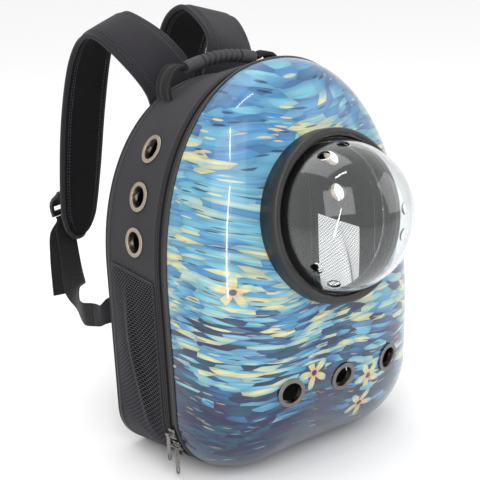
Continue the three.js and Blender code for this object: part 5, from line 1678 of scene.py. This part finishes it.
class CARRIER_OT_zip(Operator):
    """Make the zip band, teeth, sliders and pulls"""
    bl_idname = "carrier.zip"
    bl_label = "Zip"

    def execute(self, context):
        build_zip()
        return {"FINISHED"}


class CARRIER_OT_sides(Operator):
    """Make the cloth sides with their bindings and stitches"""
    bl_idname = "carrier.sides"
    bl_label = "Cloth sides"

    def execute(self, context):
        build_gusset()
        return {"FINISHED"}


class CARRIER_OT_net(Operator):
    """Make the slack net panels"""
    bl_idname = "carrier.net"
    bl_label = "Net"

    def execute(self, context):
        build_net()
        return {"FINISHED"}


class CARRIER_OT_back(Operator):
    """Make the padded back"""
    bl_idname = "carrier.back"
    bl_label = "Padded back"

    def execute(self, context):
        build_back()
        return {"FINISHED"}


class CARRIER_OT_handle(Operator):
    """Make the ribbed grip and its webbing"""
    bl_idname = "carrier.handle"
    bl_label = "Handle"

    def execute(self, context):
        build_handle()
        return {"FINISHED"}


class CARRIER_OT_straps(Operator):
    """Make the padded shoulder straps"""
    bl_idname = "carrier.straps"
    bl_label = "Shoulder straps"

    def execute(self, context):
        build_straps()
        return {"FINISHED"}


class CARRIER_OT_fastening(Operator):
    """Make the buckles, webbing, tails and tabs"""
    bl_idname = "carrier.fastening"
    bl_label = "Buckles and webbing"

    def execute(self, context):
        build_fastening()
        return {"FINISHED"}


class CARRIER_OT_stage(Operator):
    """Make the floor, light and camera"""
    bl_idname = "carrier.stage"
    bl_label = "Stage"

    def execute(self, context):
        build_stage()
        return {"FINISHED"}


STEPS = (
    CARRIER_OT_shell, CARRIER_OT_bubble, CARRIER_OT_eyelets, CARRIER_OT_piping, CARRIER_OT_zip,
    CARRIER_OT_sides, CARRIER_OT_net, CARRIER_OT_back, CARRIER_OT_handle, CARRIER_OT_straps,
    CARRIER_OT_fastening, CARRIER_OT_stage,
)


class CARRIER_PT_dressing(Panel):
    """Lists the settings and the steps"""
    bl_idname = "CARRIER_PT_dressing"
    bl_label = "Carrier"
    bl_space_type = "VIEW_3D"
    bl_region_type = "UI"
    bl_category = "Carrier"

    def draw(self, context):
        for group in SETTINGS:
            settings = getattr(context.scene, group)
            box = self.layout.box()
            for name in settings.bl_rna.properties.keys():
                if name not in ("rna_type", "name"):
                    box.prop(settings, name)
        for step in STEPS:
            self.layout.operator(step.bl_idname)


SETTINGS = {
    "carrier_paint": PaintSettings,
    "carrier_cloth": ClothSettings,
    "carrier_trim": TrimSettings,
    "carrier_stage": StageSettings,
}


def register():
    for kind in (*SETTINGS.values(), *STEPS, CARRIER_PT_dressing):
        bpy.utils.register_class(kind)
    for name, kind in SETTINGS.items():
        setattr(bpy.types.Scene, name, PointerProperty(type=kind))


def unregister():
    for name in SETTINGS:
        delattr(bpy.types.Scene, name)
    for kind in (CARRIER_PT_dressing, *reversed(STEPS), *reversed(SETTINGS.values())):
        bpy.utils.unregister_class(kind)


def main():
    """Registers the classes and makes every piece."""
    register()
    bpy.ops.carrier.shell()
    bpy.ops.carrier.bubble()
    bpy.ops.carrier.eyelets()
    bpy.ops.carrier.piping()
    bpy.ops.carrier.zip()
    bpy.ops.carrier.sides()
    bpy.ops.carrier.net()
    bpy.ops.carrier.back()
    bpy.ops.carrier.handle()
    bpy.ops.carrier.straps()
    bpy.ops.carrier.fastening()
    bpy.ops.carrier.stage()


if __name__ == "__main__":
    main()
